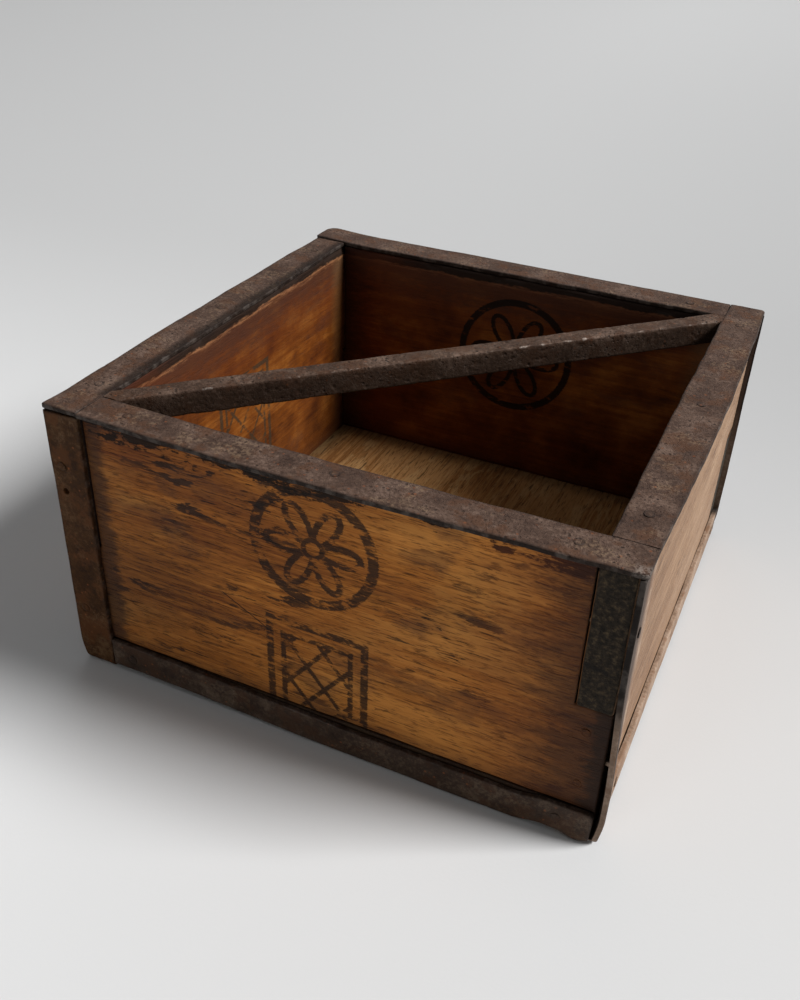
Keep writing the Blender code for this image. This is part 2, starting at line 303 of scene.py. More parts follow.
def sweep(name, rings, attributes=None):
    """A closed skin over rings of points, as (ring, point, xyz), with a fan at each end."""
    count, around = rings.shape[:2]
    index = np.arange(count * around).reshape(count, around)
    after = np.roll(index, -1, axis=1)
    quads = np.stack((index[:-1], after[:-1], after[1:], index[1:]), -1).reshape(-1, 4)
    first, last = count * around, count * around + 1
    fans = np.concatenate((
        np.stack((after[0], index[0], np.full(around, first)), -1),
        np.stack((index[-1], after[-1], np.full(around, last)), -1),
    ))
    ends = np.stack((rings[0].mean(axis=0), rings[-1].mean(axis=0)))
    points = np.concatenate((rings.reshape(-1, 3), ends))
    spread = {word: np.concatenate((values.ravel(), [0.0, 0.0]))
              for word, values in (attributes or {}).items()}
    return mesh_object(name, points, [quads, fans], spread)


def to_side(side, u, out, z):
    """A point given along, out of and up a wall, turned to that wall's place in the box."""
    x, y = ((u, -out), (out, u), (-u, out), (-out, -u))[side]
    return np.stack(np.broadcast_arrays(x, y, z), axis=-1)


def from_side(side, corner):
    """Along, out of and up a wall, from a point of the frame."""
    x, y, z = corner
    u, out = ((x, -y), (y, x), (-x, y), (-y, -x))[side]
    return u, out, z


def side_box(side, node):
    """A node's lowest and highest (u, out, z) in a wall's own frame."""
    ends = np.array([from_side(side, corner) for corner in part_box(node)])
    return ends.min(axis=0), ends.max(axis=0)


def fixing_places(side, word, count):
    """The middles of a wall's nails or pegs of one kind, as (u, out, z) in the wall's frame."""
    boxes = [side_box(side, f"{SIDES[side]}_{word}_{1 + number}") for number in range(count)]
    return [(low + high) / 2 for low, high in boxes]


def ring_grooves(u, v, places, radius, width, deep):
    """Grooves round circles of one radius, each on a bell curve of the distance from it."""
    return deep * sum(np.exp(-((np.hypot(u - across, v - up) - radius) / width) ** 2)
                      for across, up in places)


# Boards

BOARD_ROUND = 0.55 * MM
BOARD_STEP = 0.85 * MM
PEG_REACH = 1.7 * MM        # fine grid on both sides of a peg's middle


def board_outline(side):
    """A wall board with one finger at each end: low on the front and back, high on the others."""
    long, short = HALF_WOOD - 0.02 * MM, HALF_INSIDE - JOINT
    low, high = WALL_FOOT - JOINT, WALL_TOP
    if side % 2 == 0:
        split = FINGER_SPLIT - JOINT
        return [(-long, low), (long, low), (long, split), (short, split), (short, high),
                (-short, high), (-short, split), (-long, split)]
    split = FINGER_SPLIT + JOINT
    return [(-short, low), (short, low), (short, split), (long, split), (long, high),
            (-long, high), (-long, split), (-short, split)]


def board_relief(side):
    """Low swells along the board, grain ridges across it and, on the inside, a top edge worn
    and chipped where noise along it passes a level."""
    pegs = [(at[0], at[2]) for at in fixing_places(side, "peg", 2)]
    chips_wanted = (0.25, 0.45, 0.35, 0.1)[side]

    def relief(u, v, depth, face):
        seed = 100 + 10 * side + face
        swell = 0.16 * MM * ripple(u, v, seed, 70 * MM, 26 * MM, 2)
        ridges = 0.035 * MM * ripple(u, v, seed + 3, 45 * MM, 2.2 * MM, 3)
        dents = 0.22 * MM * smooth(ripple(u, v, seed + 5, 9 * MM, 4 * MM, 3), 0.95, 1.5)
        worn = 0.45 * MM * np.exp(-depth / (0.9 * MM)) * (
            0.6 + 0.4 * ripple(u, v, seed + 7, 12 * MM, 12 * MM, 2))
        total = swell + ridges + dents + worn
        if face:
            chip = smooth(ripple(u, v * 0 + 1.0, seed + 9, 9 * MM, 9 * MM, 3),
                          chips_wanted, chips_wanted + 0.5)
            total = total + 1.5 * MM * chip * np.exp(-(WALL_TOP - v) / (1.3 * MM))
        else:
            total = total + ring_grooves(u, v, pegs, 1.2 * MM, 0.14 * MM, 0.14 * MM)
        return total
    return relief, pegs


def add_board(side, material):
    """One wall board, with the rings of its two pegs."""
    outline = board_outline(side)
    relief, pegs = board_relief(side)
    breaks_u = sorted({u for u, v in outline})
    breaks_v = sorted({v for u, v in outline})
    us = grid_lines(breaks_u, BOARD_STEP, BOARD_ROUND, [(pegs[0][0], PEG_REACH)])
    vs = grid_lines(breaks_v, BOARD_STEP, BOARD_ROUND, [(peg[1], PEG_REACH) for peg in pegs])

    def place(u, v, w):
        return to_side(side, u, HALF_INSIDE + WALL / 2 + w, v)
    name = f"{SIDES[side]}_board"
    board = plate(f"{SIDES[side]}_wall", us, vs, outline, WALL, BOARD_ROUND, place, relief)
    fit(board, name, material)


def add_floor_board(material):
    """The bottom board, its top scraped by use along the grain."""
    reach = FLOOR_HIGH.x
    bottom, top = FLOOR_LOW.z, FLOOR_HIGH.z
    lines = grid_lines([-reach, reach], BOARD_STEP, BOARD_ROUND)

    def relief(x, y, depth, face):
        seed = 150 + face
        streaks = 0.05 * MM * ripple(y, x, seed, 40 * MM, 1.6 * MM, 3)
        hollows = 0.25 * MM * ripple(y, x, seed + 2, 35 * MM, 14 * MM, 2)
        scrapes = 0.3 * MM * smooth(ripple(y, x, seed + 4, 26 * MM, 3 * MM, 3), 0.75, 1.2)
        return streaks + scrapes + hollows * smooth(depth, 9 * MM, 20 * MM)

    def place(x, y, w):
        gap_x, gap_y = round_corner(reach - np.abs(x), reach - np.abs(y), 1.6 * MM)
        x, y = np.sign(x) * (reach - gap_x), np.sign(y) * (reach - gap_y)
        return np.stack((x, y, (bottom + top) / 2 + w), axis=-1)
    board = plate("floor_panel", lines, lines, rectangle(-reach, reach, -reach, reach),
                  top - bottom, BOARD_ROUND, place, relief)
    fit(board, "bottom_board", material)


# Irons

IRON_ROUND = 0.4 * MM
IRON_STEP = 0.5 * MM
BACK_ROUND = 0.08 * MM      # an iron's edge on the side that lies on the wood
NAIL_REACH = 2.2 * MM       # fine grid on both sides of a nail's middle
HOLE_REACH = 1.5 * MM
NAIL_RING = 1.55 * MM       # radius of the groove round a nail


RIM_BOWS = (                # how far each strip has sprung at its middle: outer, inner edge
    (1.5 * MM, 0.9 * MM),
    (1.3 * MM, -0.5 * MM),
    (0.9 * MM, 0.6 * MM),
    (1.0 * MM, -0.4 * MM),
)
RIM_LIFTS = (0.0, 0.1 * MM, 1.1 * MM, 0.5 * MM)     # how far each right end has risen
RIM_CORNERS = (1.2 * MM, 1.6 * MM, 4.5 * MM, 0.9 * MM)      # how round each outer corner is
RIM_FREE = 26 * MM          # length of the right end that has risen
BUTT = 0.2 * MM             # how far a strip runs on at its butt


def add_rim(side, material):
    """A flat iron strip on top of a wall. Its two edges bow by a half cosine along it and wander
    by noise, and its right end rises by a square curve."""
    outer_bow, inner_bow = RIM_BOWS[side]
    start, end = RIM_LOW.x, HALF_IRON
    inner, outer = HALF_INSIDE, HALF_IRON
    nails = fixing_places(side, "rim_nail", 3)

    def relief(u, v, depth, face):
        seed = 200 + 10 * side + face
        hammered = 0.10 * MM * ripple(u, v, seed, 14 * MM, 6 * MM, 2)
        pits = 0.11 * MM * smooth(ripple(u, v, seed + 2, 1.5 * MM, 1.5 * MM, 3), 0.55, 1.1)
        if face == 0:
            places = [(nail[0], nail[1]) for nail in nails]
            pits = pits + ring_grooves(u, v, places, NAIL_RING, 0.18 * MM, 0.03 * MM)
        return hammered + pits

    def place(u, v, w):
        along, across = round_corner(end - u, outer - v, RIM_CORNERS[side])
        u, v = end - along, outer - across
        share = (v - inner) / (outer - inner)
        middle = np.clip(np.cos(np.pi * (u - 4 * MM) / (2 * 78 * MM)), 0.0, 1.0)
        wander = 0.28 * MM * ripple(u, share, 210 + side, 13 * MM, 0.8, 3)
        sprung = middle * (share * outer_bow + (1.0 - share) * inner_bow)
        free = smooth(u, start, start + 6 * MM) * smooth(end + 3 * MM - u, 0.0, 6 * MM)
        lift = RIM_LIFTS[side] * np.clip((u - end + RIM_FREE) / RIM_FREE, 0.0, 1.0) ** 2
        rock = 0.12 * MM * ripple(u, 0 * u + 2.0, 230 + side, 30 * MM, 1.0, 2)
        out = v + sprung + wander * free
        return to_side(side, u, out, RIM_LOW.z + IRON / 2 + w + lift + rock - 0.1 * MM)
    us = grid_lines([start - BUTT, end], IRON_STEP, IRON_ROUND,
                    [(nail[0], NAIL_REACH) for nail in nails])
    vs = grid_lines([inner, outer], IRON_STEP, IRON_ROUND)
    outline = rectangle(start - BUTT, end, inner, outer)
    square_butt = rectangle(start - 5 * MM, end, inner, outer)
    strip = plate(f"{SIDES[side]}_rim_iron", us, vs, outline, IRON, IRON_ROUND, place, relief,
                  rim=square_butt)
    fit(strip, f"{SIDES[side]}_rim", material)


STRAP_LEAN = (0.35 * MM, 1.7 * MM, 0.7 * MM, 0.6 * MM)   # how far each outer edge stands off
LOST_NAIL_Z = 65.3 * MM


def add_strap(side, material):
    """A corner strap that turns under the box. v runs down its length from the top: straight,
    round a quarter circle and inward. Its outer edge stands off the wall above the foot, on the
    curve 3t^2 - 2t^3 up the strap and across it, and narrows to the foot on a circle."""
    left, right = -HALF_IRON, -HALF_IRON + STRAP_WIDTH
    top = STRAP_HIGH.z
    bend = 1.1 * MM                     # radius of the bend at the middle of the iron
    down = top - bend - IRON / 2
    turn = bend * np.pi / 2
    length = down + turn + FOOT_REACH - IRON / 2 - bend
    corner = 2.4 * MM
    nails = fixing_places(side, "strap_nail", 2)
    holes = [((left + right) / 2 - 2.15 * MM, LOST_NAIL_Z)] if side == 0 else []

    def relief(u, v, depth, face):
        seed = 300 + 10 * side + face
        hammered = 0.08 * MM * ripple(u, v, seed, 6 * MM, 16 * MM, 2)
        pits = 0.07 * MM * smooth(ripple(u, v, seed + 2, 2.2 * MM, 2.2 * MM, 3), 0.6, 1.2)
        total = hammered + pits
        if face == 0:
            places = [(nail[0], top - nail[2]) for nail in nails]
            total = total + ring_grooves(u, v, places, NAIL_RING, 0.24 * MM, 0.18 * MM)
            for at, height in holes:
                far = np.hypot(u - at, v - (top - height))
                total = total + 1.25 * MM * (1.0 - smooth(far, 0.8 * MM, 1.1 * MM))
        return total

    def place(u, v, w):
        across = u - (left + right) / 2
        half = STRAP_WIDTH / 2
        nearest, along = round_corner(half - np.abs(across), length - v, corner)
        across = np.sign(across) * (half - nearest)
        v = length - along
        wander = 0.14 * MM * ripple(v, 0 * v + 3.0, 320 + side, 15 * MM, 1.0, 3)
        across = across + wander * np.sign(across) * smooth(np.abs(across), 3 * MM, half)
        angle = np.clip((v - down) / bend, 0.0, np.pi / 2)
        beyond = np.maximum(v - down - turn, 0.0)
        before = np.minimum(v, down)
        out = HALF_IRON - IRON / 2 - bend + (bend + w) * np.cos(angle) - beyond
        z = top - before - (bend + w) * np.sin(angle)
        lean = STRAP_LEAN[side] * smooth(-z, -66 * MM, -16 * MM) * smooth(z, -4 * MM, 12 * MM)
        lean = lean * smooth(half - across, 1 * MM, STRAP_WIDTH) - 0.22 * MM
        near_foot = np.clip(1.0 - z / (9 * MM), 0.0, 1.0)
        tuck = 2.6 * MM * (1.0 - np.sqrt(1.0 - near_foot ** 2)) * (0.5 - across / STRAP_WIDTH)
        across = across + tuck
        return to_side(side, (left + right) / 2 + across, out + lean, np.maximum(z, 0.0))
    fine_v = [(top - nail[2], NAIL_REACH) for nail in nails]
    fine_v += [(top - height, HOLE_REACH) for at, height in holes] + [(down + turn / 2, 1.3 * MM)]
    us = grid_lines([left, right], IRON_STEP, IRON_ROUND,
                    [(nails[0][0], NAIL_REACH)] + [(at, HOLE_REACH) for at, height in holes])
    vs = grid_lines([0.0, length], IRON_STEP, IRON_ROUND, fine_v)
    strap = plate(f"{SIDES[side]}_corner_iron", us, vs, rectangle(left, right, 0.0, length),
                  IRON, IRON_ROUND, place, relief, deepest=0.85, back_radius=BACK_ROUND)
    fit(strap, f"{SIDES[side]}_strap", material)


STRIP_SAG = (1.5 * MM, 0.0, 0.5 * MM, 0.4 * MM)             # how far each strip hangs down
STRIP_SEAT = (0.1 * MM, 0.36 * MM, 0.24 * MM, 0.1 * MM)     # how tight each lies on its wall
STRIP_TUCK = (0.3 * MM, 1.6 * MM, 1.6 * MM, 2.2 * MM)       # how far its right end slants in


def add_bottom_strip(side, material):
    """An iron strip along the foot of a wall. Its top edge wanders a little, it hangs down
    between its two nails, and its lower edge dips on a bell curve near its right end."""
    start, end = STRIP_LOW.x, STRIP_HIGH.x
    low, high = STRIP_LOW.z, STRIP_HIGH.z
    nails = fixing_places(side, "strip_nail", 2)

    def relief(u, v, depth, face):
        seed = 400 + 10 * side + face
        hammered = 0.10 * MM * ripple(u, v, seed, 12 * MM, 5 * MM, 2)
        scale = 0.10 * MM * smooth(ripple(u, v, seed + 2, 3.2 * MM, 1.8 * MM, 3), 0.5, 1.2)
        total = hammered + scale
        if face == 0:
            places = [(nail[0], nail[2]) for nail in nails]
            total = total + ring_grooves(u, v, places, NAIL_RING, 0.24 * MM, 0.15 * MM)
        return total

    def place(u, v, w):
        along, across = round_corner(end - u, high - v, 1.6 * MM)
        u, v = end - along, high - across
        share = (v - low) / (high - low)
        wander = 0.22 * MM * ripple(u, 0 * u + 5.0, 420 + side, 17 * MM, 1.0, 3)
        away = 0.18 * MM * np.abs(ripple(u, 0 * u + 1.0, 430 + side, 40 * MM, 1.0, 2))
        away = away - STRIP_SEAT[side]
        tucked = STRIP_TUCK[side] * smooth(u, end - 5 * MM, end) * (1.0 - share) ** 2
        sag = smooth(u, -60 * MM, 12 * MM) - smooth(u, 62 * MM, 71 * MM)
        lip = np.exp(-((u - 80 * MM) / (3.6 * MM)) ** 2) * (1.0 - share) ** 2
        drop = STRIP_SAG[side] * (sag + lip)
        return to_side(side, u - tucked, HALF_IRON - IRON / 2 + w + away,
                       v + share * wander - drop)
    us = grid_lines([start, end], IRON_STEP, IRON_ROUND,
                    [(nail[0], NAIL_REACH) for nail in nails])
    vs = grid_lines([low, high], IRON_STEP, IRON_ROUND)
    strip = plate(f"{SIDES[side]}_foot_iron", us, vs, rectangle(start, end, low, high),
                  IRON, IRON_ROUND, place, relief, back_radius=BACK_ROUND)
    fit(strip, f"{SIDES[side]}_bottom_strip", material)


BAR_WIDTH = 6.5 * MM
BAR_ROUND = 0.75 * MM
BAR_AROUND = 84             # points round the bar
BAR_ALONG = 480             # rings along it between the rims


def add_bar(material):
    """The levelling bar: a rounded rectangle carried from corner to corner. Its top stops in a
    point against the inner corners of the rim, and below that it runs on as a tenon."""
    low, high = BAR_LOW.z, BAR_HIGH.z
    tall, half = high - low, BAR_WIDTH / 2
    reach = (BAR_HIGH.x - BAR_LOW.x) / 2 * math.sqrt(2.0) - half
    point = (HALF_INSIDE - 0.1 * MM) * math.sqrt(2.0)
    corners = np.cumsum([0.0, BAR_WIDTH, tall, BAR_WIDTH, tall])
    run = np.linspace(0.0, corners[-1], BAR_AROUND, endpoint=False)
    across = np.interp(run, corners, [half, -half, -half, half, half])
    up = np.interp(run, corners, [0, 0, tall, tall, 0])
    side_gap = half - np.abs(across)
    end_gap = np.minimum(up, tall - up)
    side_gap, end_gap = round_corner(side_gap, end_gap, BAR_ROUND)
    across = np.sign(across) * (half - side_gap)
    up = np.where(up < tall / 2, end_gap, tall - end_gap)
    body = np.linspace(-1.0, 1.0, BAR_ALONG)
    along = np.concatenate((
        [-reach], np.linspace(-reach + 0.4 * MM, -point - 0.05 * MM, 8), point * body,
        np.linspace(point + 0.05 * MM, reach - 0.4 * MM, 8), [reach]))
    tenon = np.abs(along) > point
    s, t = np.meshgrid(along, across, indexing="ij")
    h = np.broadcast_to(up, s.shape).copy()
    inset = np.where(np.abs(s) >= point - 1e-9, np.abs(t), np.abs(t) * (np.abs(s) / point) ** 8)
    s = np.where(np.abs(s) > point + 2 * MM, s, s - np.sign(s) * inset)
    h[tenon] = np.minimum(h[tenon], WALL_TOP - 0.3 * MM - low)
    skin = np.stack((s, t, h), axis=-1)
    pits = 0.24 * MM * smooth(noise(skin / (1.5 * MM), 510) + 0.5 * noise(skin / (0.7 * MM), 511),
                              0.25, 0.95)
    swell = 0.16 * MM * noise(skin / (9 * MM), 512)
    sink = np.where(tenon[:, None], 0.0, pits + swell)
    centre_h = tall / 2
    flat = np.stack((t / half, (h - centre_h) / centre_h), axis=-1)
    weight = np.abs(flat) ** 6
    weight = weight / np.maximum(weight.sum(axis=-1, keepdims=True), 1e-9)
    t = t - np.sign(t) * sink * weight[..., 0]
    h = h - np.sign(h - centre_h) * sink * weight[..., 1]
    crown = np.exp(-np.abs(tall - np.broadcast_to(up, s.shape)) / (1.0 * MM))
    shoulder = np.exp(-(half - np.abs(np.broadcast_to(across, s.shape))) / (0.8 * MM))
    x = (s - t) / math.sqrt(2.0)
    y = (s + t) / math.sqrt(2.0)
    rings = np.stack((x, y, low + h), axis=-1)
    # The back attribute marks the bar's sides for painted shade, and edge its top shoulders for
    # wear and painted glints.
    bar = sweep("strike_bar", rings[:, ::-1], {
        "edge": (crown * shoulder)[:, ::-1], "back": (1.0 - crown)[:, ::-1]})
    fit(bar, "levelling_bar", material)


# Nails and pegs

def add_stud(node, side, tilt, radius, crown, length, seed, material):
    """A nail or peg: a shank and a low crown turned about its axis. The head's radius wanders
    with the angle, and the crown falls as the square of the distance from the axis."""
    low, high = side_box(side, node)
    middle = (low + high) / 2
    angle = np.linspace(0.0, 2.0 * np.pi, 28, endpoint=False)
    shares = np.array([0.12, 0.3, 0.55, 0.78, 0.92, 1.0, 0.98])
    heights = crown * (1.0 - shares ** 2)
    heights[-1] = -0.35 * MM
    neck = np.array([0.62, 0.6, 0.3])
    depths = np.array([-1.0 * MM, -0.8 * length, -length])
    radii = np.concatenate((shares, neck)) * radius
    lifts = np.concatenate((heights, depths))
    wobble = 1.0 + 0.06 * np.cos(angle * 2 + seed) + 0.04 * np.cos(angle * 3 + 2 * seed)
    r = radii[::-1, None] * wobble
    w = np.broadcast_to(lifts[::-1, None], r.shape)
    a, b = r * np.cos(angle), r * np.sin(angle)
    if tilt == "up":
        ring = to_side(side, middle[0] + a, middle[1] - b, high[2] + w)
    elif tilt == "out":
        ring = to_side(side, middle[0] + a, high[1] + w, middle[2] + b)
    else:
        ring = to_side(side, middle[0] + a, middle[1] + b, low[2] - w)
    shade = np.broadcast_to((radii / radius)[::-1, None], r.shape)
    stud = sweep(node.replace("nail", "stud").replace("peg", "pin"), ring, {
        "edge": shade, "back": 0.0 * shade})
    fit(stud, node, material)


# Shader nodes

class Painter:
    """Short words for adding nodes to one tree. A value is a number, a colour or a socket."""

    def __init__(self, tree):
        self.tree = tree

    def add(self, kind, **settings):
        node = self.tree.nodes.new("ShaderNode" + kind)
        for word, value in settings.items():
            setattr(node, word, value)
        return node

    def put(self, socket, value):
        if isinstance(value, bpy.types.NodeSocket):
            self.tree.links.new(value, socket)
        elif socket.type == "RGBA":
            socket.default_value = (*value, 1.0)
        else:
            socket.default_value = value

    def math(self, operation, a, b=0.0, c=0.0):
        node = self.add("Math", operation=operation)
        for socket, value in zip(node.inputs, (a, b, c)):
            self.put(socket, value)
        return node.outputs[0]

    def times(self, product, *others):
        for other in others:
            product = self.math("MULTIPLY", product, other)
        return product

    def plus(self, total, *others):
        for other in others:
            total = self.math("ADD", total, other)
        return total

    def less(self, a, b):
        return self.math("SUBTRACT", a, b)

    def size(self, a):
        return self.math("ABSOLUTE", a)

    def both(self, a, b):
        return self.math("MAXIMUM", a, b)

    def inverse(self, a):
        return self.less(1.0, a)

    def vector(self, operation, a, b):
        node = self.add("VectorMath", operation=operation)
        self.put(node.inputs[0], a)
        self.put(node.inputs[1], b)
        return node.outputs[0]

    def mix(self, amount, a, b, blend="MIX"):
        node = self.add("Mix", data_type="RGBA", blend_type=blend)
        self.put(node.inputs[0], amount)
        self.put(node.inputs[6], a)
        self.put(node.inputs[7], b)
        return node.outputs[2]

    def stain(self, under, tone, *masks):
        """A tone laid over a colour as strongly as the product of the masks."""
        return self.mix(self.times(*masks), under, tone)

    def noise(self, point, stretch, detail=3.0, rough=0.55, distortion=0.0):
        node = self.add("TexNoise")
        self.put(node.inputs["Vector"], self.vector("MULTIPLY", point, stretch))
        node.inputs["Scale"].default_value = 1.0
        node.inputs["Detail"].default_value = detail
        node.inputs["Roughness"].default_value = rough
        node.inputs["Distortion"].default_value = distortion
        return node.outputs["Fac"]

    def cells(self, point, stretch, feature="F1"):
        node = self.add("TexVoronoi", feature=feature)
        self.put(node.inputs["Vector"], self.vector("MULTIPLY", point, stretch))
        node.inputs["Scale"].default_value = 1.0
        return node

    def steps(self, value, low, high, start=0.0, end=1.0):
        node = self.add("MapRange", interpolation_type="SMOOTHSTEP")
        for socket, given in zip(node.inputs, (value, low, high, start, end)):
            self.put(socket, given)
        return node.outputs[0]

    def ramp(self, value, places, colours):
        node = self.add("ValToRGB")
        while len(node.color_ramp.elements) < len(places):
            node.color_ramp.elements.new(1.0)
        for element, place, colour in zip(node.color_ramp.elements, places, colours):
            element.position = place
            element.color = (*colour, 1.0)
        self.put(node.inputs[0], value)
        return node.outputs[0]

    def use(self, group, **inputs):
        node = self.add("Group", node_tree=group)
        for word, value in inputs.items():
            self.put(node.inputs[word.replace("_", " ")], value)
        return node.outputs

    def attribute(self, word):
        return self.add("Attribute", attribute_name=word).outputs["Fac"]


POINTS = ("Point", "Shift", "Stretch")      # sockets that hold a point; others hold a value


def effect(name, inputs, outputs, build):
    """A shader node group with named sockets. build gets a painter and the group's inputs, and
    gives one socket for each output."""
    tree = bpy.data.node_groups.new(name, "ShaderNodeTree")
    for way, words in (("INPUT", inputs), ("OUTPUT", outputs)):
        for word in words:
            kind = "NodeSocketVector" if word in POINTS else "NodeSocketFloat"
            tree.interface.new_socket(word, in_out=way, socket_type=kind)
    painter = Painter(tree)
    start = tree.nodes.new("NodeGroupInput")
    end = tree.nodes.new("NodeGroupOutput")
    results = build(painter, start.outputs)
    for socket, result in zip(end.inputs, results):
        painter.put(socket, result)
    return tree


def build_grain(p, given):
    """Long noise at five widths: slow tone, growth lines, fibres, fine pores and dark dashes."""
    point = given["Point"]
    tone = p.noise(point, (9.0, 34.0, 34.0), 3.0, 0.55, 0.3)
    lines = p.noise(point, (16.0, 640.0, 640.0), 5.0, 0.68)
    fibres = p.noise(point, (110.0, 2600.0, 2600.0), 3.0, 0.65)
    pores = p.steps(p.noise(point, (210.0, 2100.0, 2100.0), 3.0, 0.6, 0.2), 0.52, 0.64)
    dashes = p.steps(p.noise(point, (85.0, 900.0, 900.0), 5.0, 0.62, 0.3), 0.59, 0.65)
    height = p.plus(p.times(lines, 0.5), p.times(fibres, 0.45))
    height = p.less(height, p.times(pores, 0.35))
    height = p.less(height, p.times(dashes, 0.4))
    return tone, lines, fibres, pores, dashes, height


def build_wear(p, given):
    """Noise pushed past a level where the edge attribute is high."""
    cloud = p.noise(given["Point"], (260.0, 260.0, 260.0), 4.0, 0.6)
    pushed = p.plus(given["Edge"], p.times(p.less(cloud, 0.5), 1.6))
    return (p.steps(pushed, p.inverse(given["Amount"]),
                    p.less(1.35, given["Amount"])),)


def build_band(p, given):
    """Full at one value of a coordinate and none at another, with a ragged limit that noise
    moves, drawn out along the grain."""
    cloud = p.times(p.noise(given["Point"], (55.0, 300.0, 300.0), 4.0, 0.62), 0.6)
    cloud = p.plus(cloud, p.times(p.noise(given["Point"], (330.0, 620.0, 620.0), 4.0, 0.68), 0.4))
    moved = p.plus(given["Coordinate"],
                   p.times(p.less(cloud, 0.5), given["Ragged"]))
    return (p.steps(moved, given["None At"], given["Full At"]),)


def build_blotches(p, given):
    """Soft-edged patches where stretched noise passes a level."""
    cloud = p.noise(p.vector("ADD", given["Point"], given["Shift"]),
                    given["Stretch"], 6.0, 0.64, 0.3)
    return (p.steps(cloud, given["Level"], p.plus(given["Level"], given["Softness"])),)


def build_pitting(p, given):
    """Iron: slow mottle, streaks, round pits in two sizes and scattered specks."""
    point = given["Point"]
    mottle = p.noise(point, (95.0, 95.0, 95.0), 5.0, 0.62)
    fine = p.noise(point, (900.0, 900.0, 900.0), 5.0, 0.72)
    large = p.cells(point, (520.0, 520.0, 520.0)).outputs["Distance"]
    small = p.cells(point, (1500.0, 1500.0, 1500.0)).outputs["Distance"]
    where = p.steps(mottle, 0.38, 0.62)
    pits = p.both(p.times(p.steps(large, 0.30, 0.12), where),
                  p.times(p.steps(small, 0.30, 0.14), 0.7))
    pits = p.times(pits, given["Pits"])
    cell = p.cells(point, (700.0, 700.0, 700.0))
    chance = p.add("SeparateColor")
    p.put(chance.inputs[0], cell.outputs["Color"])
    specks = p.times(p.steps(cell.outputs["Distance"], 0.34, 0.2),
                     p.steps(chance.outputs[0], 0.90, 0.95))
    height = p.plus(p.times(fine, 0.9), p.times(mottle, 0.3))
    height = p.less(height, p.times(pits, 0.6))
    return mottle, fine, pits, specks, height


def build_rosette(p, given):
    """A ring round the origin with six petals inside it: the petals' outline follows
    r = R |cos 3a|, drawn with an even width by dividing the distance along r by the curve's
    slope, and a hub sits between them."""
    across, up = given["Across"], given["Up"]
    radius, line = given["Radius"], given["Line"]
    r = p.math("SQRT", p.plus(p.times(across, across), p.times(up, up)))
    angle = p.math("ARCTAN2", up, across)
    ring_off = p.size(p.less(r, radius))
    ring = p.steps(ring_off, p.times(line, 0.56), p.times(line, 0.44))
    turned = p.times(angle, 3.0)
    petal = p.size(p.math("COSINE", turned))
    petal_off = p.less(r, p.times(radius, 0.80, petal))
    slope = p.times(p.math("SINE", turned), p.times(radius, 2.4))
    slope = p.math("DIVIDE", slope, p.both(r, 1.0 * MM))
    slope = p.math("SQRT", p.plus(1.0, p.times(slope, slope)))
    petal_off = p.math("DIVIDE", p.size(petal_off), slope)
    stroke = p.steps(petal_off, p.times(line, 0.36), p.times(line, 0.28))
    hub_off = p.size(p.less(r, p.times(line, 0.9)))
    hub = p.steps(hub_off, p.times(line, 0.3), p.times(line, 0.2))
    clear = p.steps(r, p.times(line, 1.0), p.times(line, 1.3))
    return (p.both(p.both(ring, p.times(stroke, clear)), hub),)


def build_lattice(p, given):
    """A rectangle's outline, a thinner one inside it, and diamonds from two sets of slanting
    lines, cut off at the inner outline."""
    across, up = given["Across"], given["Up"]
    line = given["Line"]
    off_u = p.less(p.size(across), given["Half Width"])
    off_v = p.less(up, given["Top"])
    off = p.both(off_u, off_v)
    outer = p.steps(p.size(off), p.times(line, 0.58), p.times(line, 0.46))
    inner_off = p.size(p.plus(off, p.times(line, 1.9)))
    inner = p.steps(inner_off, p.times(line, 0.42), p.times(line, 0.32))
    crossed = []
    for sign in (1.0, -1.0):
        slant = p.plus(across, p.times(up, sign * 0.8))
        place = p.math("PINGPONG", p.plus(slant, 1.0), 0.0056)
        crossed.append(p.steps(place, p.times(line, 0.46), p.times(line, 0.34)))
    diamonds = p.times(p.both(crossed[0], crossed[1]),
                       p.steps(off, p.times(line, -1.9), p.times(line, -2.1)))
    return (p.both(p.both(outer, inner), diamonds),)


GRAIN = effect("wood grain", ("Point",),
               ("Tone", "Lines", "Fibres", "Pores", "Dashes", "Height"), build_grain)
WEAR = effect("edge wear", ("Point", "Edge", "Amount"), ("Mask",), build_wear)
BAND = effect("ragged band", ("Point", "Coordinate", "None At", "Full At", "Ragged"),
              ("Mask",), build_band)
BLOTCHES = effect("blotches", ("Point", "Shift", "Stretch", "Level", "Softness"),
                  ("Mask",), build_blotches)
PITTING = effect("iron pitting", ("Point", "Pits"),
                 ("Mottle", "Fine", "Pits", "Specks", "Height"), build_pitting)
ROSETTE = effect("burnt ring", ("Across", "Up", "Radius", "Line"), ("Mask",), build_rosette)
LATTICE = effect("burnt frame", ("Across", "Up", "Half Width", "Top", "Line"),
                 ("Mask",), build_lattice)


def start_material(name, turn=0):
    """A material with its shader, and the object's point turned so that a wall's own along,
    out and up lie on X, -Y and Z."""
    material = bpy.data.materials.new(name)
    material.use_nodes = True
    p = Painter(material.node_tree)
    shader = next(n for n in material.node_tree.nodes if n.type == "BSDF_PRINCIPLED")
    mapping = p.add("Mapping")
    p.put(mapping.inputs["Vector"], p.add("TexCoord").outputs["Object"])
    mapping.inputs["Rotation"].default_value = (0.0, 0.0, -math.pi / 2 * turn)
    return material, p, shader, mapping.outputs[0]


def finish_material(p, shader, colour, roughness, height, depth):
    """Join colour, roughness and height to the shader; depth is the bump's height in metres."""
    p.put(shader.inputs["Base Color"], colour)
    p.put(shader.inputs["Roughness"], roughness)
    relief = p.add("Bump")
    relief.inputs["Strength"].default_value = 1.0
    relief.inputs["Distance"].default_value = depth
    p.put(relief.inputs["Height"], height)
    p.put(shader.inputs["Normal"], relief.outputs[0])


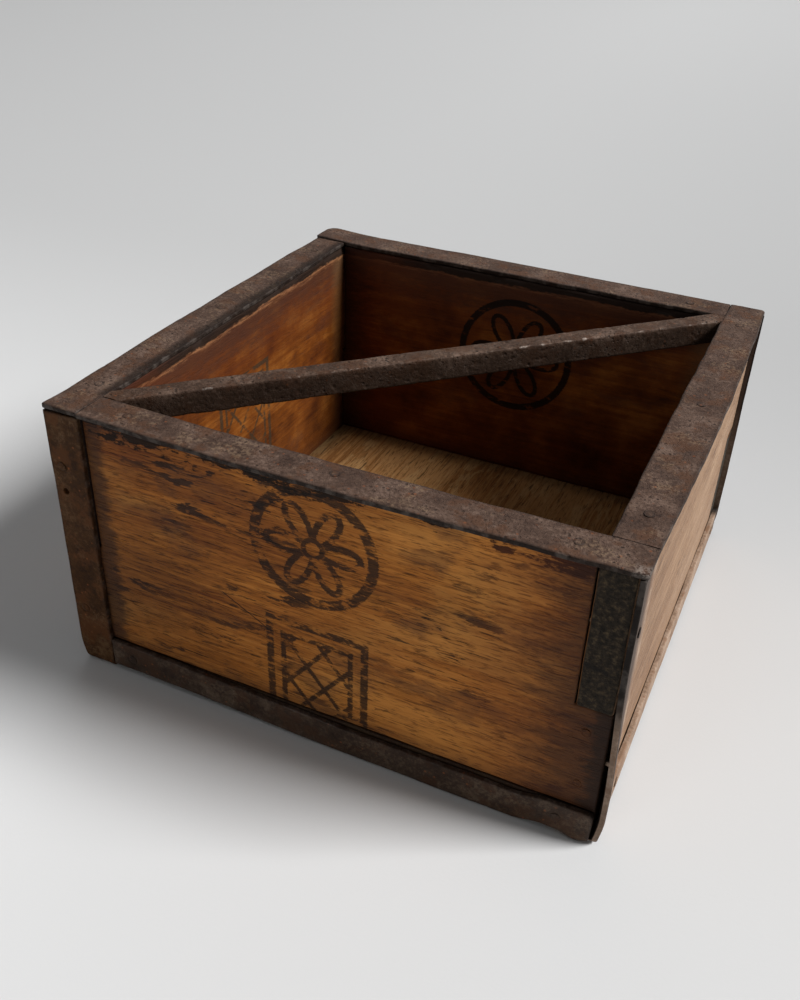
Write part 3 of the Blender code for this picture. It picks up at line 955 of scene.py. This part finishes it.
def split(p, point):
    """The three parts of a point."""
    node = p.add("SeparateXYZ")
    p.put(node.inputs[0], point)
    return node.outputs


def end_facing(p, turn):
    """How far the surface faces along the grain, as a mask."""
    mapping = p.add("Mapping", vector_type="VECTOR")
    p.put(mapping.inputs["Vector"], p.add("NewGeometry").outputs["Normal"])
    mapping.inputs["Rotation"].default_value = (0.0, 0.0, -math.pi / 2 * turn)
    return p.steps(p.size(split(p, mapping.outputs[0])[0]), 0.7, 0.9)


OUTER_WOOD = ((0.13, 0.036, 0.007), (0.36, 0.126, 0.020), (0.56, 0.226, 0.046))
# The right wall's outer palette is paler and greyer: a painted sheen of the light that falls on
# that face.
SHEEN_LIT_RIGHT_WOOD = ((0.19, 0.105, 0.058), (0.31, 0.190, 0.112), (0.40, 0.265, 0.170))
INNER_WOOD = ((0.050, 0.012, 0.003), (0.16, 0.046, 0.007), (0.29, 0.105, 0.020))
END_WOOD = ((0.007, 0.005, 0.003), (0.022, 0.015, 0.009), (0.075, 0.052, 0.028))
FLOOR_WOOD = ((0.11, 0.044, 0.015), (0.25, 0.110, 0.034), (0.40, 0.21, 0.080))
GOLD = (0.52, 0.25, 0.062)
# Near-black, used for sooty marks and cracks, and for painted shade and shadow on the irons and
# under the rim.
SOOT_AND_SHADE_BLACK = (0.007, 0.005, 0.004)
STAIN_BLACK = (0.013, 0.008, 0.006)
STAIN_PURPLE = (0.050, 0.024, 0.017)
STAIN_GREEN = (0.034, 0.028, 0.018)
STAIN_RED = (0.12, 0.028, 0.008)
OLD_RED = (0.105, 0.026, 0.009)
PORE_BROWN = (0.040, 0.012, 0.004)
SHADE_BROWN = (0.10, 0.034, 0.010)
CORNER_TAN = (0.15, 0.085, 0.036)
SPLINTER_AND_HIGHLIGHT_TAN = (0.30, 0.135, 0.060)
SOAKED = (0.22, 0.24, 0.34)         # what a soaked patch leaves of the wood's colour
WOOD_GLEAM = 0.10                   # specular level
MARK_TONES = {0: (STAIN_BLACK, 0.86), 2: (SOOT_AND_SHADE_BLACK, 0.94), 3: (STAIN_GREEN, 0.78)}


def burnt_marks(p, side, point, along, up, outside):
    """The mask of a wall's burnt marks, its lines broken by noise and frayed along the grain."""
    fray = p.add("TexNoise")
    p.put(fray.inputs["Vector"], p.vector("MULTIPLY", point, (420.0, 900.0, 900.0)))
    parts = split(p, p.vector("SUBTRACT", fray.outputs["Color"], (0.5, 0.5, 0.5)))
    u = p.plus(along, p.times(parts[0], 1.5 * MM))
    v = p.plus(up, p.times(parts[1], 0.8 * MM))
    uneven = p.noise(point, (170.0, 420.0, 420.0), 5.0, 0.68)
    if side == 0:
        ring = p.use(ROSETTE, Across=p.plus(u, 1.0 * MM),
                     Up=p.less(v, 70.3 * MM),
                     Radius=18.0 * MM, Line=3.2 * MM)[0]
        frame_mark = p.use(LATTICE, Across=p.plus(u, 0.3 * MM), Up=v,
                           Half_Width=15.2 * MM, Top=42.2 * MM, Line=2.3 * MM)[0]
        drawn = p.times(p.both(ring, frame_mark), outside)
        return p.times(drawn, p.steps(uneven, 0.38, 0.50))
    inside = p.inverse(outside)
    if side == 2:
        ring = p.use(ROSETTE, Across=u, Up=p.less(v, 61 * MM),
                     Radius=21.5 * MM, Line=2.7 * MM)[0]
        return p.times(ring, inside, p.steps(uneven, 0.34, 0.44))
    frame_mark = p.use(LATTICE, Across=p.less(u, 1.5 * MM), Up=v,
                       Half_Width=15.5 * MM, Top=68 * MM, Line=1.7 * MM)[0]
    return p.times(frame_mark, inside, p.steps(uneven, 0.38, 0.50))


def cracks(p, across, up, lines):
    """The mask of thin slanting lines, each from start to end, at a height, with a slope and a
    half width."""
    total = 0.0
    for start, end, height, slope, width in lines:
        line = p.plus(height - slope * start, p.times(across, slope))
        off = p.size(p.less(up, line))
        reach = p.times(p.steps(across, start - 0.3 * MM, start + 0.5 * MM),
                        p.steps(across, end + 0.5 * MM, end - 1.5 * MM))
        total = p.both(total, p.times(p.steps(off, width, 0.4 * width), reach))
    return total


def wall_material(side):
    """Old cedar for one wall, with its stains and burnt marks: the outer and the inner face are
    told apart by the back attribute. The right wall's outer face is paler, a painted sheen of
    the light that falls on it, and its stains are weaker."""
    material, p, shader, point = start_material(f"{SIDES[side]}_cedar", side)
    along, minus_out, up = split(p, point)
    grain = p.use(GRAIN, Point=point)
    inside = p.steps(p.attribute("back"), 0.4, 0.6)
    outside = p.inverse(inside)

    def amount(elsewhere, right):
        return right if side == 1 else elsewhere

    def blotches(shift, stretch, level, softness):
        moved = tuple(part + 0.71 * side for part in shift)
        return p.use(BLOTCHES, Point=point, Shift=moved, Stretch=stretch, Level=level,
                     Softness=softness)[0]

    def band(coordinate, none_at, full_at, ragged):
        return p.use(BAND, Point=point, Coordinate=coordinate, None_At=none_at,
                     Full_At=full_at, Ragged=ragged)[0]

    def soak(under, *masks):
        mask = p.times(*masks)
        return p.stain(p.mix(mask, under, SOAKED, "MULTIPLY"), STAIN_PURPLE, mask, 0.34)

    shade = p.plus(p.times(grain["Tone"], 0.50), p.times(grain["Lines"], 0.34),
                   p.times(grain["Fibres"], 0.16))
    # The right wall's outer face takes the pale palette, a painted sheen.
    outer_wood = amount(OUTER_WOOD, SHEEN_LIT_RIGHT_WOOD)
    outer_colour = p.ramp(shade, (0.38, 0.5, 0.60), outer_wood)
    cloudy = p.noise(p.vector("ADD", point, (0.13 * side, 0.4, 0.9)), (46.0, 52.0, 52.0),
                     6.0, 0.62)
    cloudy = p.plus(p.times(cloudy, 0.72), p.times(grain["Lines"], 0.28))
    inner_colour = p.ramp(cloudy, (0.36, 0.5, 0.62), INNER_WOOD)
    colour = p.mix(inside, outer_colour, inner_colour)
    golden = blotches((0.2, 0.5, 0.17), (14.0, 36.0, 36.0), 0.50, 0.16)
    colour = p.stain(colour, GOLD, golden, amount(0.38, 0.0), outside)
    ruddy = blotches((0.9, 0.1, 0.37), (10.0, 24.0, 24.0), 0.50, 0.18)
    colour = p.stain(colour, STAIN_RED, ruddy, amount(0.30, 0.12))

    # Pores everywhere, dashes and black smudges in crowds
    crowd = blotches((0.31, 0.2, 0.1), (22.0, 42.0, 42.0), 0.42, 0.2)
    fineness = p.plus(0.22, p.times(outside, amount(0.78, 0.15)))
    colour = p.stain(colour, PORE_BROWN, grain["Pores"], fineness, 0.60)
    dashes = p.times(grain["Dashes"], fineness, p.plus(0.25, p.times(crowd, 0.75)))
    colour = p.stain(colour, STAIN_BLACK, dashes, 0.92)
    smudges = blotches((0.7, 0.13, 0.4), (70.0, 300.0, 300.0), 0.565, 0.03)
    colour = p.stain(colour, STAIN_BLACK, smudges, crowd, fineness, 0.88)
    clouds = blotches((0.3, 0.83, 0.6), (34.0, 70.0, 70.0), 0.535, 0.12)
    colour = p.stain(colour, STAIN_PURPLE, clouds, amount(0.42, 0.08))

    # Under the rim: outside one band of grime and painted rim shadow, inside several
    # A ragged near-black band just under the rim: sooty marks and painted shadow of the rim.
    rim_shadow_and_grime = band(up, WALL_TOP - 3.2 * MM, WALL_TOP - 1.2 * MM, 36 * MM)
    rim_shadow_and_grime = p.times(rim_shadow_and_grime, amount(0.94, 0.3))
    colour = p.stain(colour, SOOT_AND_SHADE_BLACK, rim_shadow_and_grime, outside)
    red_top = band(up, 58 * MM, 80 * MM, 26 * MM)
    colour = p.stain(colour, OLD_RED, red_top, inside, 0.60)
    purple_top = band(up, 74 * MM, 86 * MM, 34 * MM)
    colour = p.stain(colour, STAIN_PURPLE, purple_top, inside, 0.62)
    in_corner = band(p.size(along), 62 * MM, 70 * MM, 8 * MM)
    colour = p.stain(colour, CORNER_TAN, in_corner, inside, 0.42)
    # Pale splinters along the inner top edge: torn fibres, with a painted highlight strongest on
    # the lit left wall.
    splinters_and_highlight = band(up, WALL_TOP - 4.4 * MM, WALL_TOP - 3.0 * MM, 7 * MM)
    splinters_and_highlight = p.times(splinters_and_highlight, p.steps(grain["Fibres"], 0.40, 0.56))
    colour = p.stain(colour, SPLINTER_AND_HIGHLIGHT_TAN, splinters_and_highlight, inside, (0.2, 0.2, 0.25, 0.8)[side])
    # A near-black line just under the rim on the inside.
    dark_line_under_rim = band(up, WALL_TOP - 3.1 * MM, WALL_TOP - 2.3 * MM, 5.5 * MM)
    colour = p.stain(colour, STAIN_BLACK, dark_line_under_rim, inside, 0.95)

    # Dirt above the foot irons, smoke by the strap and grime at the bare end
    low_dirt = band(up, 19 * MM, 10 * MM, 10 * MM)
    colour = p.stain(colour, STAIN_PURPLE, low_dirt, amount(0.55, 0.08))
    low_shade = band(up, 56 * MM, 18 * MM, 30 * MM)
    colour = p.stain(colour, SHADE_BROWN, low_shade, 0.24)
    smoke_height = p.steps(p.size(p.less(up, 38 * MM)), 34 * MM, 6 * MM)
    smoke = band(along, -22 * MM, -60 * MM, 50 * MM)
    dark = amount(1.0, 0.15)
    colour = soak(colour, smoke, smoke_height, outside, 0.40 * dark)
    by_strap = band(along, -66.5 * MM, -70.5 * MM, 13 * MM)
    colour = soak(colour, by_strap, outside, 0.80 * dark)
    by_end = band(along, 36 * MM, 70 * MM, 40 * MM)
    colour = p.stain(colour, STAIN_RED, by_end, 0.55 * dark)
    near_end = band(along, 55 * MM, 77 * MM, 42 * MM)
    colour = soak(colour, near_end, 0.78 * dark)
    at_end = band(along, 78 * MM, 82 * MM, 18 * MM)
    colour = p.stain(colour, STAIN_BLACK, at_end, 0.78 * dark)
    if side == 0:
        dent = p.plus(p.times(p.size(p.plus(along, 22 * MM)), 0.55),
                      p.size(p.less(up, 35.4 * MM)))
        crack = cracks(p, along, up, [(-31 * MM, -14 * MM, 45.5 * MM, -0.55, 0.30 * MM)])
        damage = p.both(crack, p.times(p.steps(dent, 1.3 * MM, 0.9 * MM), 0.7))
        colour = p.stain(colour, STAIN_BLACK, damage, outside, 0.9)
    if side in MARK_TONES:
        tone, strength = MARK_TONES[side]
        marks = burnt_marks(p, side, point, along, up, outside)
        colour = p.stain(colour, tone, marks, strength)

    # End grain
    end = end_facing(p, side)
    speckle = p.noise(point, (700.0, 700.0, 700.0), 6.0, 0.65)
    colour = p.mix(end, colour, p.ramp(speckle, (0.36, 0.52, 0.70), END_WOOD))
    if side == 1:
        crack = cracks(p, p.times(minus_out, -1.0), up,
                       [(74 * MM, 82 * MM, 61.5 * MM, -0.2, 0.9 * MM)])
        colour = p.stain(colour, SOOT_AND_SHADE_BLACK, crack, end, 0.85)
    rough = p.plus(0.42, p.times(grain["Fibres"], 0.22),
                   p.times(p.both(rim_shadow_and_grime, dashes), 0.12))
    height = p.plus(grain["Height"], p.times(speckle, 0.25))
    finish_material(p, shader, colour, rough, height, 0.16 * MM)
    shader.inputs["Specular IOR Level"].default_value = WOOD_GLEAM
    return material


def floor_material():
    """The bottom board: scraped along the grain, pale in the middle and darker by the walls, and
    lighter towards the back as painted light.
    """
    material, p, shader, point = start_material("bottom_cedar", 1)
    grain = p.use(GRAIN, Point=point)
    along, out, up = split(p, point)
    # The last term makes the board lighter towards the back: painted light.
    shade = p.plus(p.times(grain["Tone"], 0.40), p.times(grain["Lines"], 0.60),
                   p.steps(along, 10 * MM, 75 * MM, 0.0, 0.075))
    colour = p.ramp(shade, (0.38, 0.5, 0.60), FLOOR_WOOD)
    scraped = p.use(BLOTCHES, Point=point, Shift=(0.9, 0.3, 0.0), Stretch=(38.0, 120.0, 120.0),
                    Level=0.52, Softness=0.05)[0]
    colour = p.stain(colour, (0.46, 0.28, 0.12), scraped, 0.5)
    colour = p.stain(colour, (0.05, 0.02, 0.008), grain["Pores"], 0.5)
    colour = p.stain(colour, (0.03, 0.014, 0.007), grain["Dashes"], 0.7)
    edge_out = p.both(p.size(along), p.size(out))
    # Darker by the walls.
    darker_by_walls = p.use(BAND, Point=point, Coordinate=edge_out, None_At=HALF_INSIDE - 9 * MM,
                 Full_At=HALF_INSIDE - 1 * MM, Ragged=9 * MM)[0]
    colour = p.stain(colour, STAIN_BLACK, darker_by_walls, 0.5)
    bare_end = p.steps(edge_out, HALF_WOOD - 3 * MM, HALF_WOOD - 1 * MM)
    colour = p.stain(colour, STAIN_BLACK, bare_end, 0.85)
    rough = p.plus(0.5, p.times(grain["Fibres"], 0.2))
    finish_material(p, shader, colour, rough, grain["Height"], 0.12 * MM)
    shader.inputs["Specular IOR Level"].default_value = WOOD_GLEAM
    return material


RUST_TAN = (0.23, 0.155, 0.095)
RUST_SPECK = (0.26, 0.080, 0.026)
PIT_BLACK = (0.010, 0.007, 0.006)
BACK_SHADE_DARK = (0.014, 0.008, 0.005)
EDGE_GRIME_AND_SHADE = (0.020, 0.014, 0.012)
CORNER_SHADE_IRON = (0.062, 0.043, 0.034)
BRIGHT_IRON = (0.40, 0.34, 0.30)


def bright_tip(p, point, fine):
    """The worn bright spot on the rim's near right corner: full within a millimetre of it, with a
    limit that fine noise moves."""
    tip = p.vector("SUBTRACT", point, (HALF_IRON - 1.5 * MM, 1.5 * MM - HALF_IRON, RIM_TOP))
    tip_x, tip_y, tip_z = split(p, tip)
    tip_off = p.both(p.size(tip_x), p.size(tip_y))
    tip_off = p.plus(p.both(tip_off, p.times(p.size(tip_z), 2.0)),
                     p.times(p.less(fine, 0.5), 5 * MM))
    return p.times(p.steps(tip_off, 3.4 * MM, 1.0 * MM), p.steps(fine, 0.44, 0.56))


def iron_material(name, dark, middle, light, rust, metal, rough, pits, worn, wear_and_glint, depth,
                  back_shade=0.0, grime_and_edge_shade=0.3, corner=0.0, tan=0.1, gleam=0.11, rim_side_shade=0.0):
    """Old iron: three tones by mottle, black pits, rust specks, tan patches, painted shade on
    backs and sides, grime and painted shade on edges, painted shade at box corners, and places
    where an edge is worn bright, on the bar with painted glints."""
    material, p, shader, point = start_material(name)
    x, y, z = split(p, point)
    skin = p.use(PITTING, Point=point, Pits=pits)
    tone = p.plus(p.times(skin["Mottle"], 0.5), p.times(skin["Fine"], 0.5))
    colour = p.ramp(tone, (0.37, 0.5, 0.62), (dark, middle, light))
    rusty = p.noise(p.vector("ADD", point, (0.4, 0.2, 0.7)), (120.0, 120.0, 120.0), 5.0, 0.68)
    colour = p.stain(colour, rust, p.steps(rusty, 0.50, 0.60), 0.65)
    patches = p.use(BLOTCHES, Point=point, Shift=(0.37, 0.21, 0.5),
                    Stretch=(75.0, 75.0, 75.0), Level=0.53, Softness=0.07)[0]
    colour = p.stain(colour, RUST_TAN, patches, p.steps(skin["Fine"], 0.46, 0.60), tan)
    colour = p.stain(colour, RUST_SPECK, skin["Specks"], 0.4)
    colour = p.stain(colour, PIT_BLACK, skin["Pits"], 0.8)
    # Painted shade where the back attribute is high: on the bar, its sides.
    colour = p.stain(colour, BACK_SHADE_DARK, p.attribute("back"), back_shade)
    edge = p.attribute("edge")
    # Grime and painted shade along the edges.
    colour = p.stain(colour, EDGE_GRIME_AND_SHADE, p.steps(edge, 0.45, 0.95), grime_and_edge_shade)

    # Painted shade on the sides, and on the inner edge of the left rim strip
    normal = split(p, p.add("NewGeometry").outputs["Normal"])
    upright = p.times(p.steps(normal[2], 0.80, 0.35), rim_side_shade)
    inner_left = p.times(p.steps(x, -78.5 * MM, -75.5 * MM), p.steps(x, -73 * MM, -74 * MM),
                         p.steps(p.size(y), 76 * MM, 72 * MM), rim_side_shade)
    colour = p.mix(p.both(upright, inner_left), colour, SOOT_AND_SHADE_BLACK)

    # Painted shade at the box corners, with less of it on a front-facing edge low down
    near = p.math("MINIMUM", p.size(x), p.size(y))
    low_front_edge = p.times(p.steps(normal[1], -0.45, -0.80), p.steps(z, 56 * MM, 40 * MM))
    corner_shade = p.times(p.steps(near, 76 * MM, 83 * MM), corner,
                        p.inverse(p.times(low_front_edge, 0.62)))
    colour = p.mix(corner_shade, colour, CORNER_SHADE_IRON)
    colour = p.stain(colour, SOOT_AND_SHADE_BLACK, p.steps(edge, 0.55, 0.95), corner_shade, p.inverse(low_front_edge))

    # Edges worn bright: worn metal, and on the bar's top shoulders also painted glints.
    rub_and_glint = p.use(WEAR, Point=point, Edge=edge, Amount=worn)[0]
    rub_and_glint = p.both(p.times(rub_and_glint, wear_and_glint), p.times(bright_tip(p, point, skin["Fine"]), 0.42))
    colour = p.mix(rub_and_glint, colour, BRIGHT_IRON)
    gloss = p.plus(rough, p.times(p.less(skin["Fine"], 0.5), 0.5))
    gloss = p.less(gloss, p.times(rub_and_glint, 0.15))
    p.put(shader.inputs["Metallic"], p.plus(metal, p.times(rub_and_glint, 0.3)))
    finish_material(p, shader, colour, gloss, skin["Height"], depth)
    shader.inputs["Specular IOR Level"].default_value = gleam
    return material


def peg_material():
    """The end of a wooden pin: dark, with a few paler fibres."""
    material, p, shader, point = start_material("dark_pin")
    speckle = p.noise(point, (1300.0, 1300.0, 1300.0), 3.0, 0.6)
    colour = p.ramp(speckle, (0.4, 0.62), ((0.036, 0.013, 0.006), (0.095, 0.036, 0.013)))
    finish_material(p, shader, colour, p.plus(0.5, p.times(speckle, 0.3)), speckle, 0.1 * MM)
    shader.inputs["Specular IOR Level"].default_value = WOOD_GLEAM
    return material


# The stage

PALE = (0.70, 0.705, 0.712)


def ground_material():
    """Pale paper, with painted light falloff: darker to the right and towards the back."""
    material, p, shader, point = start_material("pale_paper")
    x, y, z = split(p, point)
    # Painted light falloff: darker to the right and towards the back, a little lighter far back
    # on the sweep.
    share = p.times(p.steps(x, -0.30, 0.32, 1.0, 0.82), p.steps(y, -0.16, 0.30, 1.05, 0.755))
    share = p.times(share, p.steps(y, 0.4, 1.6, 1.0, 1.06))
    level = p.add("CombineColor")
    for socket, part in zip(level.inputs, PALE):
        p.put(socket, p.times(share, part))
    colour = level.outputs[0]
    fibres = p.noise(point, (900.0, 900.0, 900.0), 2.0, 0.5)
    finish_material(p, shader, colour, p.plus(0.85, p.times(fibres, 0.1)), fibres, 0.02 * MM)
    shader.inputs["Specular IOR Level"].default_value = 0.2
    return material


def add_ground():
    """A sheet of paper under the box that sweeps up far behind it: flat, then a quarter circle
    that rises to the back."""
    bend, flat, wide = 2.0, 3.0, 6.0
    turn = np.linspace(0.0, np.pi / 2, 24)
    run = np.concatenate(([-4.0], np.linspace(-3.0, flat, 24)[:-1], flat + bend * np.sin(turn)))
    rise = np.concatenate(([0.0], np.zeros(23), bend - bend * np.cos(turn)))
    x, row = np.meshgrid(np.linspace(-wide, wide, 40), np.arange(len(run)))
    points = np.stack((x, run[row], rise[row]), axis=-1)
    index = np.arange(x.size).reshape(x.shape)
    quads = np.stack((index[:-1, :-1], index[:-1, 1:], index[1:, 1:], index[1:, :-1]), -1)
    ground = mesh_object("paper_ground", points, [quads.reshape(-1, 4)])
    ground.data.materials.append(ground_material())


SOFTBOXES = (               # name, direction from the box, distance, size, power, colour
    ("key_softbox", (1.109, 0.321, 1.0), 8.0, 2.6, 970.0, (1.0, 0.995, 0.985)),
    ("rear_softbox", (-0.45, 0.9, 0.85), 6.0, 2.6, 20.0, (0.99, 0.995, 1.0)),
    ("front_softbox", (-0.30, -1.0, 0.22), 3.0, 1.2, 16.0, (1.0, 0.99, 0.97)),
    ("overhead_softbox", (-0.1, -0.1, 1.0), 2.4, 1.8, 5.0, (0.985, 0.99, 1.0)),
)


def add_softbox(name, towards, distance, size, power, colour):
    """A square area light at a distance along a direction from the box, turned to face it."""
    lamp = bpy.data.lights.new(name, "AREA")
    lamp.shape, lamp.size, lamp.energy, lamp.color = "SQUARE", size, power, colour
    holder = bpy.data.objects.new(name, lamp)
    bpy.context.scene.collection.objects.link(holder)
    direction = np.array(towards) / np.linalg.norm(towards)
    holder.location = direction * distance + np.array((0.0, 0.0, 0.05))
    flat = math.hypot(direction[0], direction[1])
    holder.rotation_euler = (math.atan2(flat, direction[2]), 0.0,
                             math.atan2(direction[1], direction[0]) + math.pi / 2)


def set_world(strength):
    """A plain grey surround."""
    world = bpy.data.worlds.new("soft_surround")
    world.use_nodes = True
    surround = world.node_tree.nodes["Background"]
    surround.inputs["Color"].default_value = (1.0, 1.0, 1.0, 1.0)
    surround.inputs["Strength"].default_value = strength
    bpy.context.scene.world = world


CAMERA_PLACE = (0.10949, -0.27921, 0.23256)
CAMERA_TURN = (56.84232, -1.80752, 24.91791)     # degrees about x, y and z
FOCAL_LENGTH = 37.344


def add_camera():
    """The camera, above the front right of the box, looking down at it."""
    lens = bpy.data.cameras.new("view")
    lens.lens = FOCAL_LENGTH
    lens.sensor_width = 36.0
    lens.clip_start = 0.01
    holder = bpy.data.objects.new("view", lens)
    holder.location = CAMERA_PLACE
    holder.rotation_euler = tuple(math.radians(angle) for angle in CAMERA_TURN)
    bpy.context.scene.collection.objects.link(holder)
    bpy.context.scene.camera = holder


# Build it all

# The rim: painted shade on its upright sides and on the left strip's inner edge.
rim_iron = iron_material(
    "rim_wrought_iron", (0.042, 0.024, 0.018), (0.086, 0.052, 0.038), (0.16, 0.105, 0.080),
    (0.095, 0.044, 0.024), metal=0.05, rough=0.60, pits=0.8, worn=0.12, wear_and_glint=0.12,
    depth=0.34 * MM, grime_and_edge_shade=0.6, tan=0.40, rim_side_shade=0.72)
# The bar: painted shade on its sides, and worn edges with painted glints on its top.
bar_iron = iron_material(
    "bar_wrought_iron", (0.032, 0.017, 0.011), (0.076, 0.045, 0.031), (0.16, 0.105, 0.078),
    (0.070, 0.031, 0.016), metal=0.05, rough=0.52, pits=1.0, worn=0.31, wear_and_glint=0.72,
    depth=0.34 * MM, back_shade=0.76, grime_and_edge_shade=0.0)
strap_iron = iron_material(
    "strap_wrought_iron", (0.022, 0.009, 0.003), (0.050, 0.021, 0.007), (0.098, 0.052, 0.024),
    (0.088, 0.033, 0.011), metal=0.02, rough=0.58, pits=0.35, worn=0.1, wear_and_glint=0.1,
    depth=0.14 * MM, gleam=0.06)
strip_iron = iron_material(
    "foot_wrought_iron", (0.022, 0.013, 0.009), (0.046, 0.029, 0.020), (0.105, 0.072, 0.050),
    (0.055, 0.026, 0.014), metal=0.05, rough=0.54, pits=0.4, worn=0.1, wear_and_glint=0.1,
    depth=0.18 * MM)
# Pale iron for the irons seen on the lit right face: a painted sheen, with painted shade at the
# box corner.
sheen_lit_iron = iron_material(
    "sheen_lit_wrought_iron", (0.15, 0.095, 0.062), (0.29, 0.195, 0.135), (0.42, 0.31, 0.235),
    (0.21, 0.115, 0.066), metal=0.05, rough=0.6, pits=0.25, worn=0.1, wear_and_glint=0.1,
    depth=0.14 * MM, grime_and_edge_shade=0.06, corner=0.95)
nail_iron = iron_material(
    "nail_forged_iron", (0.018, 0.011, 0.008), (0.040, 0.024, 0.016), (0.08, 0.050, 0.034),
    (0.070, 0.030, 0.016), metal=0.05, rough=0.54, pits=0.5, worn=0.0, wear_and_glint=0.0,
    depth=0.12 * MM)
pin_wood = peg_material()

add_floor_board(floor_material())
for side, word in enumerate(SIDES):
    add_board(side, wall_material(side))
    add_rim(side, rim_iron)
    # The right and back straps and the right foot strip take the pale iron with its painted
    # sheen.
    strap_skin = sheen_lit_iron if word in ("right", "back") else strap_iron
    strip_skin = sheen_lit_iron if word == "right" else strip_iron
    add_strap(side, strap_skin)
    add_bottom_strip(side, strip_skin)
    for number in (1, 2, 3):
        add_stud(f"{word}_rim_nail_{number}", side, "up", 1.42 * MM, 0.03 * MM, 12 * MM,
                 number + 5 * side, rim_iron)
    for number in (1, 2):
        add_stud(f"{word}_strap_nail_{number}", side, "out", 1.40 * MM, 0.14 * MM, 16 * MM,
                 number + 7 * side, strap_skin)
        add_stud(f"{word}_strip_nail_{number}", side, "out", 1.40 * MM, 0.12 * MM, 12 * MM,
                 number + 3 * side, strip_skin)
        add_stud(f"{word}_peg_{number}", side, "out", 1.10 * MM, 0.02 * MM, 16 * MM,
                 number + 2 * side, pin_wood)
    add_stud(f"{word}_foot_nail", side, "down", 1.40 * MM, 0.0, 14 * MM, side, nail_iron)
add_bar(bar_iron)

add_ground()
add_camera()
for softbox in SOFTBOXES:
    add_softbox(*softbox)
set_world(0.045)
bpy.context.scene.view_settings.view_transform = "Standard"
